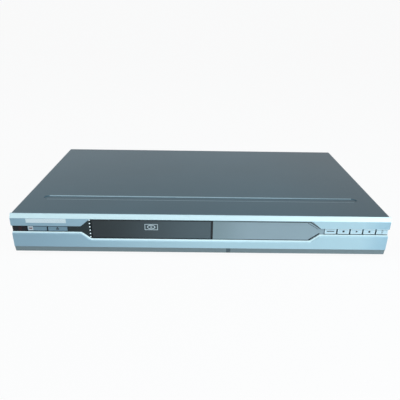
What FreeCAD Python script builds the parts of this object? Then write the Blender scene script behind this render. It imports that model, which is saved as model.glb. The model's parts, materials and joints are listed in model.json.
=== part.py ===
import FreeCAD, Part

import os
import re

import Sketcher
from FreeCAD import Placement, Rotation, Vector

# A slim disc recorder. X runs along the front, Y from the front to the back, and Z is up.
# The origin is on the table, under the middle of the box round the whole recorder.
# All lengths are in millimetres and all angles in degrees.

SIZES = {
    # The case and what it stands on
    "case_width": 430,
    "case_depth": 245,
    "jack_proud": 9,
    "foot_height": 6,
    "foot_radius": 17,
    "foot_inset": 36,
    "pad_radius": 12,
    "pad_rise": 1.6,
    "pad_proud": 0.8,
    "sheet": 0.8,
    "case_gap": 0.3,
    "fit_gap": 0.2,
    "screw_radius": 1.5,
    "screw_hole": 1.8,
    "screw_head": 3,
    "head_height": 1.6,
    "screw_length": 6,
    # The moulded front
    "bezel_height": 48,
    "bezel_drop": 1,
    "bezel_depth": 14,
    "bezel_wall": 2.5,
    "bezel_side": 2,
    "rim_depth": 4,
    "strip_low": 43.2,
    "strip_setback": 3,
    "base_height": 7,
    "base_step": 0.7,
    "base_setback": 2,
    "band_low": 25.6,
    "band_high": 33.8,
    "window_low": 17.3,
    "window_high": 42.8,
    "waist_side": 78.5,
    "taper": 10.5,
    "taper_round": 4,
    "channel_depth": 4.2,
    "channel_floor": 1.8,
    "lip": 2.1,
    "face_depth": 2.2,
    # What fills the band, from left to right
    "inlay_gap": 0.2,
    "band_side": 0.4,
    "ir_width": 16.6,
    "button_gap": 0.6,
    "power_width": 21.6,
    "open_width": 21.9,
    "trim_length": 26.8,
    "door_margin": 0.6,
    "door_gap": 0.3,
    "door_thick": 4,
    "door_round": 0.6,
    "trim_gap": 0.6,
    "display_gap": 2.2,
    "key_pitch": 14.9,
    "key_gap": 1.5,
    "key_count": 5,
    "button_face": 1.7,
    "button_thick": 1.5,
    "button_round": 0.3,
    "button_travel": 0.6,
    "stem_width": 6,
    "stem_height": 3.4,
    "slide_gap": 0.3,
    "ir_hole": 3.5,
    "view_start": 12.6,
    "view_end": 21,
    "view_low": 21,
    "view_high": 39.5,
    # The cover
    "cover_sheet": 0.8,
    "cover_drop": 0.4,
    "bend": 1.3,
    "bead_side": 22.5,
    "bead_back": 49.5,
    "bead_width": 11,
    "bead_depth": 0.9,
    "bead_draft": 45,
    "rear_lip": 9,
    "side_screw_rise": 9.5,
    "side_screw_front": 60,
    "side_screw_back": 45,
    "vent_length": 16,
    "vent_width": 2.4,
    "vent_pitch": 6,
    "vent_count": 10,
    # The chassis
    "pan_flange": 14,
    "front_flange": 10,
    "back_flange": 6,
    "board_thick": 1.6,
    "board_rise": 6.2,
    "post_radius": 3,
    "post_inset": 6,
    # The boards
    "main_gap": 10.9,
    "board_side": 9,
    "main_front": -62,
    "board_back": 2.2,
    "power_gap": 12.1,
    "power_board_front": -30,
    "key_board_low": 5,
    "key_board_high": 41,
    "key_board_depth": 11,
    "key_board_side": 2.4,
    "switch_size": 6,
    "switch_body": 3.4,
    "plunger_radius": 1.6,
    "plunger_length": 0.6,
    "tube_thick": 4,
    "tube_margin": 3,
    # The tray
    "tray_half": 67.5,
    "tray_low": 27,
    "tray_plate": 2,
    "tray_rim": 2.4,
    "rim_step": 4.7,
    "tray_length": 182,
    "disc_front": 65,
    "disc_pocket": 61,
    "disc_floor": 1.6,
    "small_pocket": 41,
    "small_floor": 0.9,
    "slot_half": 21,
    "slot_back": 75,
    "skirt_inset": 5.5,
    "skirt_thick": 2,
    "skirt_drop": 3,
    # The gears that move the tray
    "gear_module": 1,
    "tooth_share": 0.4,
    "addendum": 0.85,
    "dedendum": 1.15,
    "tooth_slope": 0.25,
    "drive_teeth": 28,
    "pinion_teeth": 10,
    "pinion_step": 15,
    "rack_line": 50,
    "rack_back": 6,
    "rack_drop": 3.4,
    "rack_teeth": 47,
    "rack_lead": 2,
    "gear_front": 33.5,
    "gear_height": 6.2,
    "pulley_radius": 10,
    "motor_pulley_radius": 3.2,
    "pulley_height": 4,
    "motor_side": -20,
    "motor_radius": 10,
    "motor_height": 9.8,
    "motor_shaft": 1,
    "gear_post": 2,
    "shaft_gap": 0.06,
    "belt_thick": 1.2,
    "belt_gap": 0.25,
    # The frame of the drive
    "frame_front": 16,
    "tray_end_gap": 11.8,
    "tray_side_gap": 0.5,
    "frame_wall": 4,
    "frame_rise": 4.2,
    "frame_floor": 2,
    "frame_height": 27,
    "front_wall": 2,
    "front_wall_top": 17,
    "ledge_width": 3,
    "ledge_thick": 3,
    "tab_length": 12,
    "tab_thick": 2.7,
    "deck_rise": 7,
    "deck_thick": 2,
    "deck_back": 41.5,
    "leg_size": 12,
    # The part that swings up under the disc
    "hinge_back": 100,
    "hinge_rise": 14.2,
    "lift_angle": 4.4,
    "lift_half": 50,
    "lift_bar": 6,
    "lift_thick": 6,
    "lift_front": 24,
    "pin_radius": 2.5,
    "pin_length": 7.5,
    "boss_gap": 2.3,
    "boss_width": 5.7,
    "boss_size": 10,
    "stud_side": -15,
    "stud_rise": 6,
    "stud_radius": 1.8,
    "stud_length": 5.2,
    "stud_gap": 0.4,
    "cam_travel": 20,
    "cam_thick": 3.5,
    "cam_left": -48,
    "cam_right": -2,
    "plate_thick": 1.2,
    "damper_height": 3.2,
    "damper_radius": 2.8,
    "turntable_rise": 14.6,
    "turntable_radius": 14.5,
    "turntable_thick": 1.5,
    "cone_radius": 7.4,
    "cone_height": 2.8,
    "spindle_radius": 1.5,
    "spindle_can": 13.5,
    "spindle_height": 8,
    "rod_side": 26,
    "rod_radius": 1.5,
    "rod_rise": 3.2,
    "sled_front": 14.5,
    "sled_length": 28,
    "sled_half": 20,
    "sled_travel": 34,
    "lens_front": 9.5,
    "lens_radius": 2.6,
    "lens_top": 1.8,
    "lens_thick": 0.65,
    "head_width": 30,
    "head_depth": 7.8,
    "lens_rise": 13.8,
    "screw_side": 34,
    "screw_rise": 1,
    "sled_drop": 4,
    "sled_motor_radius": 5,
    "puck_gap": 0.5,
    "puck_radius": 15.5,
    "bridge_rise": 34.2,
    "bridge_thick": 2.5,
    "bridge_ring": 24,
    "bridge_hole": 17,
    "bridge_half": 11,
    "foot_peg": 2.4,
    "vent_start": 23,
    "vent_end": 57,
    # Sockets at the back, measured from the right side of the case
    "tuner_gap": 3,
    "tuner_width": 36,
    "tuner_length": 38,
    "tuner_height": 16,
    "aerial_radius": 4.7,
    "aerial_pitch": 17,
    "aerial_rise": 8.5,
    "aerial_hole": 1,
    "rca_radius": 4.15,
    "rca_hole": 1.6,
    "rca_depth": 8,
    "rca_pitch": 13,
    "rca_rise": 8,
    "rca_row": 14,
    "rca_margin": 6.4,
    "rca_housing": 12,
    "nose_margin": 5.6,
    "nose_proud": 0.4,
    "block_gap": 1.2,
    "sound_columns": 3,
    "picture_columns": 3,
    "digital_side": 28,
    "video_nose": 11.2,
    "video_socket": 4.6,
    "video_depth": 6,
    "video_key": 2.6,
    "light_size": 9.6,
    "socket_proud": 1.4,
    "inlet_side": 33,
    "inlet_rise": 9,
    "inlet_half": 11.5,
    "inlet_tall": 6.5,
    "inlet_depth": 18,
    "inlet_pocket": 13,
    "inlet_pitch": 4.3,
    "inlet_radius": 4.4,
    "prong_radius": 1.2,
    "prong_length": 8,
    # The fan
    "fan_size": 40,
    "fan_depth": 10,
    "fan_bore": 18.6,
    "fan_hub": 9.5,
    "fan_web": 2,
    "fan_strut": 2.4,
    "fan_struts": 3,
    "rotor_hub": 9,
    "rotor_length": 6.4,
    "rotor_gap": 0.6,
    "blade_tip": 18,
    "blade_chord": 8,
    "blade_thick": 0.9,
    "blade_root_angle": 48,
    "blade_tip_angle": 28,
    "blade_count": 7,
    "fan_shaft": 1.2,
    "grille_slots": 12,
    "grille_inner": 7,
    "grille_outer": 16,
    "grille_width": 2.8,
    # What stands on the boards
    "chip_height": 1.8,
    "codec_size": 27,
    "memory_width": 22,
    "memory_depth": 11,
    "encoder_size": 20,
    "chip_pitch": 34,
    "sink_size": 34,
    "sink_base": 2.5,
    "fin_height": 11,
    "fin_thick": 1.2,
    "fin_count": 8,
    "can_radius": 4,
    "can_height": 11,
    "can_count": 6,
    "can_pitch": 13,
    "can_inset": 14,
    "bulk_radius": 11,
    "bulk_height": 29,
    "bulk_side": 25,
    "bulk_front": 22,
    "smooth_radius": 5,
    "smooth_height": 20,
    "smooth_count": 4,
    "smooth_pitch": 13,
    "core_width": 32,
    "core_depth": 28,
    "core_height": 24,
    "core_leg": 7,
    "core_side": 37,
    "core_front": 68,
    "winding_radius": 12,
    "cooler_length": 52,
    "cooler_height": 27,
    "cooler_thick": 2,
    "cooler_fin": 8,
    "cooler_fins": 5,
    "cable_width": 30,
    "cable_thick": 0.8,
    "cable_start": 34,
    "cable_rise": 16,
    "socket_depth": 4,
    "socket_height": 5,
    "floor_slot_gap": 1.6,
    "guide_width": 4,
    "guide_depth": 1,
    "guide_height": 5,
}

# Places and lengths that follow from those sizes
PLACES = {
    "band_end": "case_width / 2 - band_side",
    "ir_right": "ir_width - band_end",
    "power_left": "ir_right + button_gap",
    "power_right": "power_left + power_width",
    "open_left": "power_right + key_gap",
    "open_right": "open_left + open_width",
    "trim_left": "open_right + button_gap",
    "door_left": "trim_left + trim_length",
    "tray_middle": "door_left + door_margin + tray_half",
    "door_right": "tray_middle + tray_half + door_margin",
    "display_left": "door_right + display_gap",
    "keys_left": "band_end - key_count * key_pitch + key_gap",
    "display_right": "keys_left - button_gap",
    "view_left": "display_left + view_start",
    "view_right": "display_right - view_end",
    "waist_half": "case_width / 2 - waist_side",
    "bead_half": "case_width / 2 - bead_side",
    "tray_rim_half": "tray_half - rim_step",
    "skirt_out": "tray_half - skirt_inset",
    "ledge_half": "tray_half - ledge_width",
    "frame_half": "tray_half + tray_side_gap + frame_wall",
    "frame_length": "face_depth + door_thick + tray_length + tray_end_gap + frame_wall - frame_front",
    "floor_slot_half": "lift_half + floor_slot_gap",
    "main_left": "tray_middle + frame_half + main_gap",
    "main_right": "case_width / 2 - board_side",
    "power_board_left": "board_side - case_width / 2",
    "power_board_right": "tray_middle - frame_half - power_gap",
    "floor_vent_left": "vent_start - case_width / 2",
    "floor_vent_right": "vent_end - case_width / 2",
    "bulk_at": "bulk_side - case_width / 2",
    "core_at": "core_side - case_width / 2",
    "inlet_at": "inlet_side - case_width / 2",
    "cable_at": "main_left + cable_start",
    "fan_at": "tray_middle",
    "digital_at": "case_width / 2 - digital_side",
    "block_step": "2 * rca_margin + block_gap",
    "picture_left": "digital_at - block_step - (picture_columns - 1) * rca_pitch",
    "sound_left": "picture_left - block_step - (sound_columns - 1) * rca_pitch",
    "video_at": "sound_left - block_step",
    "tuner_left": "video_at - rca_margin - tuner_gap - tuner_width",
}

document = FreeCAD.newDocument("DiscRecorder")
sheet = document.addObject("Spreadsheet::Sheet", "Sizes")
for row, (alias, size) in enumerate(SIZES.items(), 1):
    sheet.set(f"A{row}", alias)
    sheet.set(f"B{row}", str(size))
    sheet.setAlias(f"B{row}", alias)
document.recompute()

nodes = {}
WORD = re.compile(r"[a-z][a-z_]+")


# Rules are texts such as "case_width / 2"; these read them from the sheet
def full(rule):
    def cell(found):
        word = found.group()
        if word in PLACES:
            return f"({full(PLACES[word])})"
        return f"Sizes.{word}" if word in SIZES else word

    return WORD.sub(cell, str(rule))


def number(rule):
    return float(sheet.evalExpression(full(rule)))


def count(rule):
    return int(round(number(rule)))


def bind(item, **rules):
    for name, rule in rules.items():
        item.setExpression(name, full(rule))


def place(item, x="0", y="0", z="0"):
    for axis, rule in (("x", x), ("y", y), ("z", z)):
        item.setExpression(f"Placement.Base.{axis}", full(rule))


# Levels and lines that several pieces share
HALF = "(case_width / 2)"
FRONT = "(-(case_depth + jack_proud) / 2)"
REAR = f"({FRONT} + case_depth)"
LOW = "(foot_height - bezel_drop)"
TOP = f"({LOW} + bezel_height)"
COVER_TOP = f"({TOP} - cover_drop)"
COVER_UNDER = f"({COVER_TOP} - cover_sheet)"
LEDGE = f"({COVER_UNDER} - fit_gap)"
COVER_HALF = f"({HALF} - case_gap)"
PAN_HALF = f"({COVER_HALF} - cover_sheet - fit_gap)"
PAN_FRONT = f"({FRONT} + bezel_depth + case_gap)"
PAN_REAR = f"({REAR} - sheet)"
FLOOR_TOP = "(foot_height + sheet)"
BOARD_LOW = f"({FLOOR_TOP} + board_rise)"
BOARD_TOP = f"({BOARD_LOW} + board_thick)"
BOARD_REAR = f"({PAN_REAR} - board_back)"
FACE = f"({FRONT} + face_depth)"
CHANNEL = f"({FRONT} + channel_depth)"
CHANNEL_BACK = f"({CHANNEL} + channel_floor)"
KEY_BOARD = f"({FRONT} + key_board_depth)"
BAND_MIDDLE = f"({LOW} + (band_low + band_high) / 2)"
MID = "tray_middle"
DOOR_BACK = f"({FACE} + door_thick)"
TRAY_LOW = f"({LOW} + tray_low)"
TRAY_FLANGE = f"({TRAY_LOW} + tray_plate)"
TRAY_TOP = f"({TRAY_FLANGE} + tray_rim)"
DISC_Y = f"({DOOR_BACK} + disc_front)"
FRAME_Y = f"({FRONT} + frame_front)"
FRAME_LOW = f"({FLOOR_TOP} + frame_rise)"
FRAME_FLOOR = f"({FRAME_LOW} + frame_floor)"
FRAME_TOP = f"({FRAME_LOW} + frame_height)"
DECK_LOW = f"({FRAME_LOW} + deck_rise)"
DECK_TOP = f"({DECK_LOW} + deck_thick)"
HINGE_Y = f"({DISC_Y} + hinge_back)"
HINGE_Z = f"({FLOOR_TOP} + hinge_rise)"
PITCH = "(pi * gear_module)"
TOOTH_ROOT = f"({PITCH} * tooth_share / 2 + dedendum * tooth_slope)"
TOOTH_TIP = f"({PITCH} * tooth_share / 2 - addendum * tooth_slope)"

# How many sides stand for a round shape: screws and holes, sockets' bores, and cans
FEW, SOME, MANY = 6, 8, 12
CLOSE = 0.01
PARALLEL = 0.999


# Sketches, whose points and radii are all bound to the sheet
def new_body(label):
    body = document.addObject("PartDesign::Body", label)
    body.Label = label
    nodes[label] = body
    return body


def sketch(body, plane, at="0", origin=("0", "0")):
    item = body.newObject("Sketcher::SketchObject", "Outline")
    face = next(f for f in body.Origin.OriginFeatures if f.Role == f"{plane}_Plane")
    item.AttachmentSupport = [(face, "")]
    item.MapMode = "FlatFace"
    side = "-1" if plane == "XZ" else "1"
    item.setExpression("AttachmentOffset.Base.x", full(origin[0]))
    item.setExpression("AttachmentOffset.Base.y", full(origin[1]))
    item.setExpression("AttachmentOffset.Base.z", full(f"{side} * ({at})"))
    return item


def pin_point(item, piece, point, x=None, y=None):
    for kind, rule in (("DistanceX", x), ("DistanceY", y)):
        if rule is not None:
            limit = Sketcher.Constraint(kind, -1, 1, piece, point, number(rule))
            index = item.addConstraint(limit)
            item.setExpression(f"Constraints[{index}]", full(rule))


def loop(item, points, arcs=None):
    """Closes an outline through the points; arcs gives an edge's centre and its turn, 1 or -1."""
    arcs = arcs or {}
    total = len(points)
    spots = [Vector(number(x), number(y), 0) for x, y in points]
    ends = []
    for i in range(total):
        start, end = spots[i], spots[(i + 1) % total]
        if i in arcs:
            centre_x, centre_y, turn = arcs[i]
            centre = Vector(number(centre_x), number(centre_y), 0)
            circle = Part.Circle(centre, Vector(0, 0, 1), (start - centre).Length)
            first, last = (start, end) if turn > 0 else (end, start)
            arc = Part.ArcOfCircle(circle, circle.parameter(first), circle.parameter(last))
            piece = item.addGeometry(arc)
            ends.append((piece, 1, 2) if turn > 0 else (piece, 2, 1))
            upright = abs(end.y - start.y) > abs(end.x - start.x)
            pin_point(item, piece, 3, centre_x if upright else None, None if upright else centre_y)
        else:
            piece = item.addGeometry(Part.LineSegment(start, end))
            ends.append((piece, 1, 2))
    for i in range(total):
        piece, start, _ = ends[i]
        before, _, end = ends[i - 1]
        item.addConstraint(Sketcher.Constraint("Coincident", before, end, piece, start))
        pin_point(item, piece, start, *points[i])


def rectangle(item, x, y):
    loop(item, [(x[0], y[0]), (x[1], y[0]), (x[1], y[1]), (x[0], y[1])])


def centred(item, x, y, width, height):
    rectangle(item, (f"{x} - ({width}) / 2", f"{x} + ({width}) / 2"),
              (f"{y} - ({height}) / 2", f"{y} + ({height}) / 2"))


def slot_hole(item, start, end, y, radius):
    """An opening along X with round ends."""
    points = [(start, f"{y} - {radius}"), (end, f"{y} - {radius}"),
              (end, f"{y} + {radius}"), (start, f"{y} + {radius}")]
    loop(item, points, {1: (end, y, 1), 3: (start, y, 1)})


def ring(item, x, y, radius):
    circle = Part.Circle(Vector(number(x), number(y), 0), Vector(0, 0, 1), number(radius))
    piece = item.addGeometry(circle)
    index = item.addConstraint(Sketcher.Constraint("Radius", piece, number(radius)))
    item.setExpression(f"Constraints[{index}]", full(radius))
    pin_point(item, piece, 3, x, y)


def cornered(item, x, y, radius, sides=FEW):
    """An outline with straight sides, whose corners lie on a circle."""
    angles = [360 / sides * i for i in range(sides)]
    loop(item, [(f"{x} + ({radius}) * cos({angle})", f"{y} + ({radius}) * sin({angle})") for angle in angles])


# Features, which all run towards +X, +Y or +Z from their sketch unless back is set
def grow(body, outline, length, back=False):
    pad = body.newObject("PartDesign::Pad", "Pad")
    pad.Profile = outline
    bind(pad, Length=length)
    flat = outline.AttachmentSupport[0][0].Role == "XZ_Plane"
    pad.Reversed = flat != back
    document.recompute()
    return pad


def carve(body, outline, length, back=False, draft=None):
    before = body.Shape.Volume
    pocket = body.newObject("PartDesign::Pocket", "Pocket")
    pocket.Profile = outline
    bind(pocket, Length=length)
    if draft:
        bind(pocket, TaperAngle=draft)
    flat = outline.AttachmentSupport[0][0].Role == "XZ_Plane"
    pocket.Reversed = flat == back
    document.recompute()
    if not body.Shape.Volume < before:
        raise ValueError(f"{body.Label}: a pocket cuts nothing")
    return pocket


def row_of(body, feature, outline, step, number_of, axis="H_Axis"):
    pattern = body.newObject("PartDesign::LinearPattern", "Row")
    pattern.Originals = [feature]
    pattern.Direction = (outline, [axis])
    bind(pattern, Length=f"({step}) * ({number_of} - 1)", Occurrences=number_of)
    body.Tip = pattern
    document.recompute()
    return pattern


def circle_of(body, features, outline, number_of):
    pattern = body.newObject("PartDesign::PolarPattern", "Circle")
    pattern.Originals = features
    pattern.Axis = (outline, ["N_Axis"])
    pattern.Angle = 360
    bind(pattern, Occurrences=number_of)
    body.Tip = pattern
    document.recompute()
    return pattern


def spun(body, plane, points, origin=("0", "0")):
    """A piece turned about an upright line, from half of its section."""
    outline = sketch(body, plane, "0", origin)
    loop(outline, points)
    turned = body.newObject("PartDesign::Revolution", "Turned")
    turned.Profile = outline
    turned.ReferenceAxis = (outline, ["V_Axis"])
    turned.Angle = 360
    document.recompute()
    return turned


def edges_of(body, test):
    edges = body.Shape.Edges
    return [f"Edge{i}" for i, edge in enumerate(edges, 1) if test(edge)]


def soften(body, test, radius, kind="Fillet"):
    names = edges_of(body, test)
    if not names:
        raise ValueError(f"{body.Label}: no edge to soften")
    tip = body.Tip
    edge = body.newObject(f"PartDesign::{kind}", kind)
    edge.Base = (tip, names)
    bind(edge, **{"Radius" if kind == "Fillet" else "Size": radius})
    document.recompute()
    return edge


def runs_along(edge, axis):
    straight = edge.Curve.TypeId == "Part::GeomLine"
    return straight and abs(edge.tangentAt(edge.FirstParameter).dot(axis)) > PARALLEL


def near(a, b):
    return abs(a - b) < CLOSE


# Plain solids and how they are joined
def block(name, x, y, z):
    item = document.addObject("Part::Box", name)
    bind(item, Length=f"({x[1]}) - ({x[0]})", Width=f"({y[1]}) - ({y[0]})",
         Height=f"({z[1]}) - ({z[0]})")
    place(item, x[0], y[0], z[0])
    return item


TURNS = {"x": Rotation(Vector(0, 1, 0), 90), "y": Rotation(Vector(1, 0, 0), -90), "z": Rotation()}


def rod(name, axis, x, y, z, radius, length):
    item = document.addObject("Part::Cylinder", name)
    item.Placement = Placement(Vector(), TURNS[axis])
    bind(item, Radius=radius, Height=length)
    place(item, x, y, z)
    return item


def prism(name, axis, x, y, z, radius, length, sides=FEW):
    item = document.addObject("Part::Prism", name)
    item.Polygon = sides
    item.Placement = Placement(Vector(), TURNS[axis])
    bind(item, Circumradius=radius, Height=length)
    place(item, x, y, z)
    return item


def cone(name, axis, x, y, z, low, high, length):
    item = document.addObject("Part::Cone", name)
    item.Placement = Placement(Vector(), TURNS[axis])
    bind(item, Radius1=low, Radius2=high, Height=length)
    place(item, x, y, z)
    return item


def fused(name, pieces):
    if len(pieces) == 1:
        return pieces[0]
    item = document.addObject("Part::MultiFuse", name)
    item.Shapes = pieces
    item.Refine = True
    return item


def less(name, base, tools):
    item = document.addObject("Part::Cut", name)
    item.Base = base
    item.Tool = fused(f"{name}_tools", tools)
    item.Refine = True
    return item


def grouped(name, pieces):
    item = document.addObject("Part::Compound", name)
    item.Links = pieces
    return item


def keep(item, label):
    item.Label = label
    nodes[label] = item
    return item


# The case
def waist(spread, end):
    """The outline of the band: narrow at the ends and as tall as the window in the middle."""
    narrow, wide = f"(waist_half + {spread})", f"(waist_half - taper + {spread})"
    low, high = f"({LOW} + band_low - {spread})", f"({LOW} + band_high + {spread})"
    window_low = f"({LOW} + window_low - {spread})"
    window_high = f"({LOW} + window_high + {spread})"
    lower = [(f"-{end}", low), (f"-{narrow}", low), (f"-{wide}", window_low),
             (wide, window_low), (narrow, low), (end, low)]
    upper = [(end, high), (narrow, high), (wide, window_high),
             (f"-{wide}", window_high), (f"-{narrow}", high), (f"-{end}", high)]
    return lower + upper


def key_edges(index):
    left = f"(keys_left + {index} * key_pitch)"
    return left, f"({left} + key_pitch - key_gap)"


def button_edges():
    """Each button of the band, with its left and right edge."""
    edges = {"power_button": ("power_left", "power_right"),
             "open_close_button": ("open_left", "open_right")}
    for index, name in enumerate(KEYS):
        edges[name] = key_edges(index)
    return edges


KEYS = ("input_button", "stop_button", "play_button", "record_button", "channel_button")


def front_bezel():
    body = new_body("front_bezel")
    side = sketch(body, "YZ", f"-{HALF}")
    base = f"({LOW} + base_height)"
    loop(side, [(f"{FRONT} + base_setback", LOW), (f"{FRONT} + bezel_depth", LOW),
                (f"{FRONT} + bezel_depth", LEDGE), (f"{FRONT} + rim_depth", LEDGE),
                (f"{FRONT} + rim_depth", TOP), (f"{FRONT} + strip_setback", TOP),
                (FRONT, f"{LOW} + strip_low"), (FRONT, base), (f"{FRONT} + base_step", base)])
    grow(body, side, "case_width")
    steps = sketch(body, "XZ", f"{FRONT} + rim_depth")
    inset = f"({COVER_HALF} - cover_sheet - fit_gap)"
    rectangle(steps, (f"-{HALF} - case_gap", f"-{inset}"), (f"{LOW} - case_gap", TOP))
    rectangle(steps, (inset, f"{HALF} + case_gap"), (f"{LOW} - case_gap", TOP))
    carve(body, steps, "bezel_depth")
    hollow = sketch(body, "XZ", f"{FRONT} + bezel_wall")
    rectangle(hollow, (f"-({inset} - bezel_side)", f"{inset} - bezel_side"),
              (f"{LOW} + bezel_side", f"{LEDGE} - bezel_side"))
    carve(body, hollow, "bezel_depth")
    backing = sketch(body, "XZ", f"{FRONT} + bezel_wall")
    loop(backing, waist("channel_floor", f"({inset} - bezel_side)"))
    grow(body, backing, f"{CHANNEL_BACK} - ({FRONT} + bezel_wall)")
    channel = sketch(body, "XZ", FRONT)
    loop(channel, waist("0", f"({HALF} + case_gap)"))
    carve(body, channel, "channel_depth")
    corners = [number(x) for x, _ in waist("0", HALF)]
    front, floor = number(FRONT), number(CHANNEL)
    inner = [x for x in corners if abs(x) < number("waist_half") + CLOSE]

    def taper_corner(edge):
        box = edge.BoundBox
        at_corner = any(near(box.XMin, x) for x in inner)
        return runs_along(edge, Vector(0, 1, 0)) and at_corner and near(box.YMax, floor)

    soften(body, taper_corner, "taper_round")
    middle = number(BAND_MIDDLE)
    lowest = number(f"{LOW} + window_low")

    def lower_rim(edge):
        box = edge.BoundBox
        flat = near(box.YMin, front) and near(box.YMax, front)
        return flat and box.ZMax < middle and box.ZMin > lowest - 0.1

    soften(body, lower_rim, "lip", "Chamfer")
    holes = sketch(body, "XZ", CHANNEL)
    rectangle(holes, ("door_left - door_gap", "door_right + door_gap"),
              (f"{LOW} + window_low + door_gap", f"{LOW} + window_high"))
    rectangle(holes, ("view_left", "view_right"), (f"{LOW} + view_low", f"{LOW} + view_high"))
    cornered(holes, "(ir_right - band_end) / 2", BAND_MIDDLE, "ir_hole", SOME)
    for left, right in button_edges().values():
        centred(holes, f"({left} + {right}) / 2", BAND_MIDDLE,
                "stem_width + 2 * slide_gap", "stem_height + 2 * slide_gap")
    carve(body, holes, "channel_floor")
    bosses = sketch(body, "XZ", f"{FRONT} + bezel_wall")
    for x, z in board_points():
        cornered(bosses, x, z, "post_radius")
    grow(body, bosses, f"{KEY_BOARD} - ({FRONT} + bezel_wall)")
    bores = sketch(body, "XZ", f"{KEY_BOARD} + board_thick - screw_length - fit_gap")
    for x, z in board_points():
        cornered(bores, x, z, "screw_hole")
    carve(body, bores, "screw_length")


def board_points():
    """Where the two boards behind the front are screwed to its bosses."""
    low, high = f"({LOW} + key_board_low + post_inset)", f"({LOW} + key_board_high - post_inset / 2)"
    spots = [(x, low) for x in (f"-({HALF} - 3 * post_inset)", f"{MID} - frame_half - 2 * post_inset",
                                f"{MID} + frame_half + 3 * post_inset", f"{HALF} - 3 * post_inset")]
    return spots + [(f"-({HALF} - 3 * post_inset)", high), (f"{HALF} - 3 * post_inset", high)]


def inlay(label, points, soft):
    """A smoked plate that lies in the band."""
    body = new_body(label)
    outline = sketch(body, "XZ", FACE)
    loop(outline, points)
    grow(body, outline, "channel_depth - face_depth")
    if soft:
        spots = [number(x) for x in soft]
        soften(body, lambda edge: runs_along(edge, Vector(0, 1, 0))
               and any(near(edge.BoundBox.XMin, x) for x in spots), "taper_round")
    return body


def band_inlays():
    low, high = f"({LOW} + band_low + inlay_gap)", f"({LOW} + band_high - inlay_gap)"
    tall_low, tall_high = f"({LOW} + window_low + 2 * inlay_gap)", f"({LOW} + window_high - 2 * inlay_gap)"
    inlay("ir_window", [("-band_end", low), ("ir_right", low), ("ir_right", high), ("-band_end", high)], [])
    neck, wide = "(-waist_half)", "(-(waist_half - taper))"
    edge = "(door_left - trim_gap)"
    inlay("window_end_trim", [("trim_left", low), (neck, low), (wide, tall_low), (edge, tall_low),
                              (edge, tall_high), (wide, tall_high), (neck, high), ("trim_left", high)],
          [neck])
    neck, wide = "(waist_half)", "(waist_half - taper)"
    inlay("display_window", [("display_left", tall_low), (wide, tall_low), (neck, low),
                             ("display_right", low), ("display_right", high), (neck, high),
                             (wide, tall_high), ("display_left", tall_high)], [neck, wide])


def button(label, left, right):
    body = new_body(label)
    face = f"({FRONT} + button_face)"
    cap = sketch(body, "XZ", face)
    rectangle(cap, (left, right), (f"{LOW} + band_low + 2 * inlay_gap + slide_gap",
                                   f"{LOW} + band_high - slide_gap"))
    grow(body, cap, "button_thick")
    front = number(face)
    soften(body, lambda edge: near(edge.BoundBox.YMax, front), "button_round", "Chamfer")
    stem = sketch(body, "XZ", f"{face} + button_thick")
    centred(stem, f"({left} + {right}) / 2", BAND_MIDDLE, "stem_width", "stem_height")
    reach = f"{KEY_BOARD} - switch_body - plunger_length - slide_gap - button_travel"
    grow(body, stem, f"({reach}) - ({face} + button_thick)")


def tray_front():
    body = new_body("tray_front")
    door = sketch(body, "XZ", FACE)
    rectangle(door, ("door_left", "door_right"),
              (f"{LOW} + window_low + 2 * door_gap", f"{LOW} + window_high - door_gap"))
    grow(body, door, "door_thick")
    front = number(FACE)
    soften(body, lambda edge: near(edge.BoundBox.YMax, front), "door_round", "Chamfer")


def disc_tray():
    body = new_body("disc_tray")
    plate = sketch(body, "XY", TRAY_LOW)
    rectangle(plate, (f"{MID} - tray_half", f"{MID} + tray_half"),
              (DOOR_BACK, f"{DOOR_BACK} + tray_length"))
    grow(body, plate, "tray_plate")
    rim = sketch(body, "XY", TRAY_FLANGE)
    rectangle(rim, (f"{MID} - tray_rim_half", f"{MID} + tray_rim_half"),
              (DOOR_BACK, f"{DISC_Y} + disc_pocket + skirt_thick"))
    grow(body, rim, "tray_rim")
    skirts = sketch(body, "XY", TRAY_LOW)
    for side in ("-1", "1"):
        inner, outer = f"{MID} + {side} * (skirt_out - skirt_thick)", f"{MID} + {side} * skirt_out"
        ends = (inner, outer) if side == "1" else (outer, inner)
        rectangle(skirts, ends, (DOOR_BACK, f"{DOOR_BACK} + tray_length"))
    grow(body, skirts, "skirt_drop", back=True)
    gear_y = f"({FRONT} + gear_front)"
    root = f"({MID} + rack_line + dedendum)"
    first = f"({gear_y} + (0.5 - rack_lead) * {PITCH})"
    bar = sketch(body, "XY", TRAY_LOW)
    rectangle(bar, (root, f"{root} + rack_back"),
              (f"{first} - {PITCH} / 2", f"{first} + (rack_teeth - 0.5) * {PITCH}"))
    grow(body, bar, "rack_drop", back=True)
    tooth = sketch(body, "XY", TRAY_LOW)
    tip = f"({MID} + rack_line - addendum)"
    loop(tooth, [(tip, f"{first} - {TOOTH_TIP}"), (root, f"{first} - {TOOTH_ROOT}"),
                 (root, f"{first} + {TOOTH_ROOT}"), (tip, f"{first} + {TOOTH_TIP}")])
    one = grow(body, tooth, "rack_drop", back=True)
    row_of(body, one, tooth, PITCH, "rack_teeth", "V_Axis")
    disc = sketch(body, "XY", TRAY_TOP)
    ring(disc, MID, DISC_Y, "disc_pocket")
    carve(body, disc, f"{TRAY_TOP} - ({TRAY_LOW} + disc_floor)", back=True)
    small = sketch(body, "XY", f"{TRAY_LOW} + disc_floor")
    ring(small, MID, DISC_Y, "small_pocket")
    carve(body, small, "disc_floor - small_floor", back=True)
    opening = sketch(body, "XY", TRAY_TOP)
    left, right = f"({MID} - slot_half)", f"({MID} + slot_half)"
    back, start = f"({DISC_Y} + slot_back)", f"({DISC_Y})"
    loop(opening, [(left, start), (right, start), (right, back), (left, back)],
         {0: (MID, start, 1)})
    carve(body, opening, "tray_rim + tray_plate", back=True)


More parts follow.
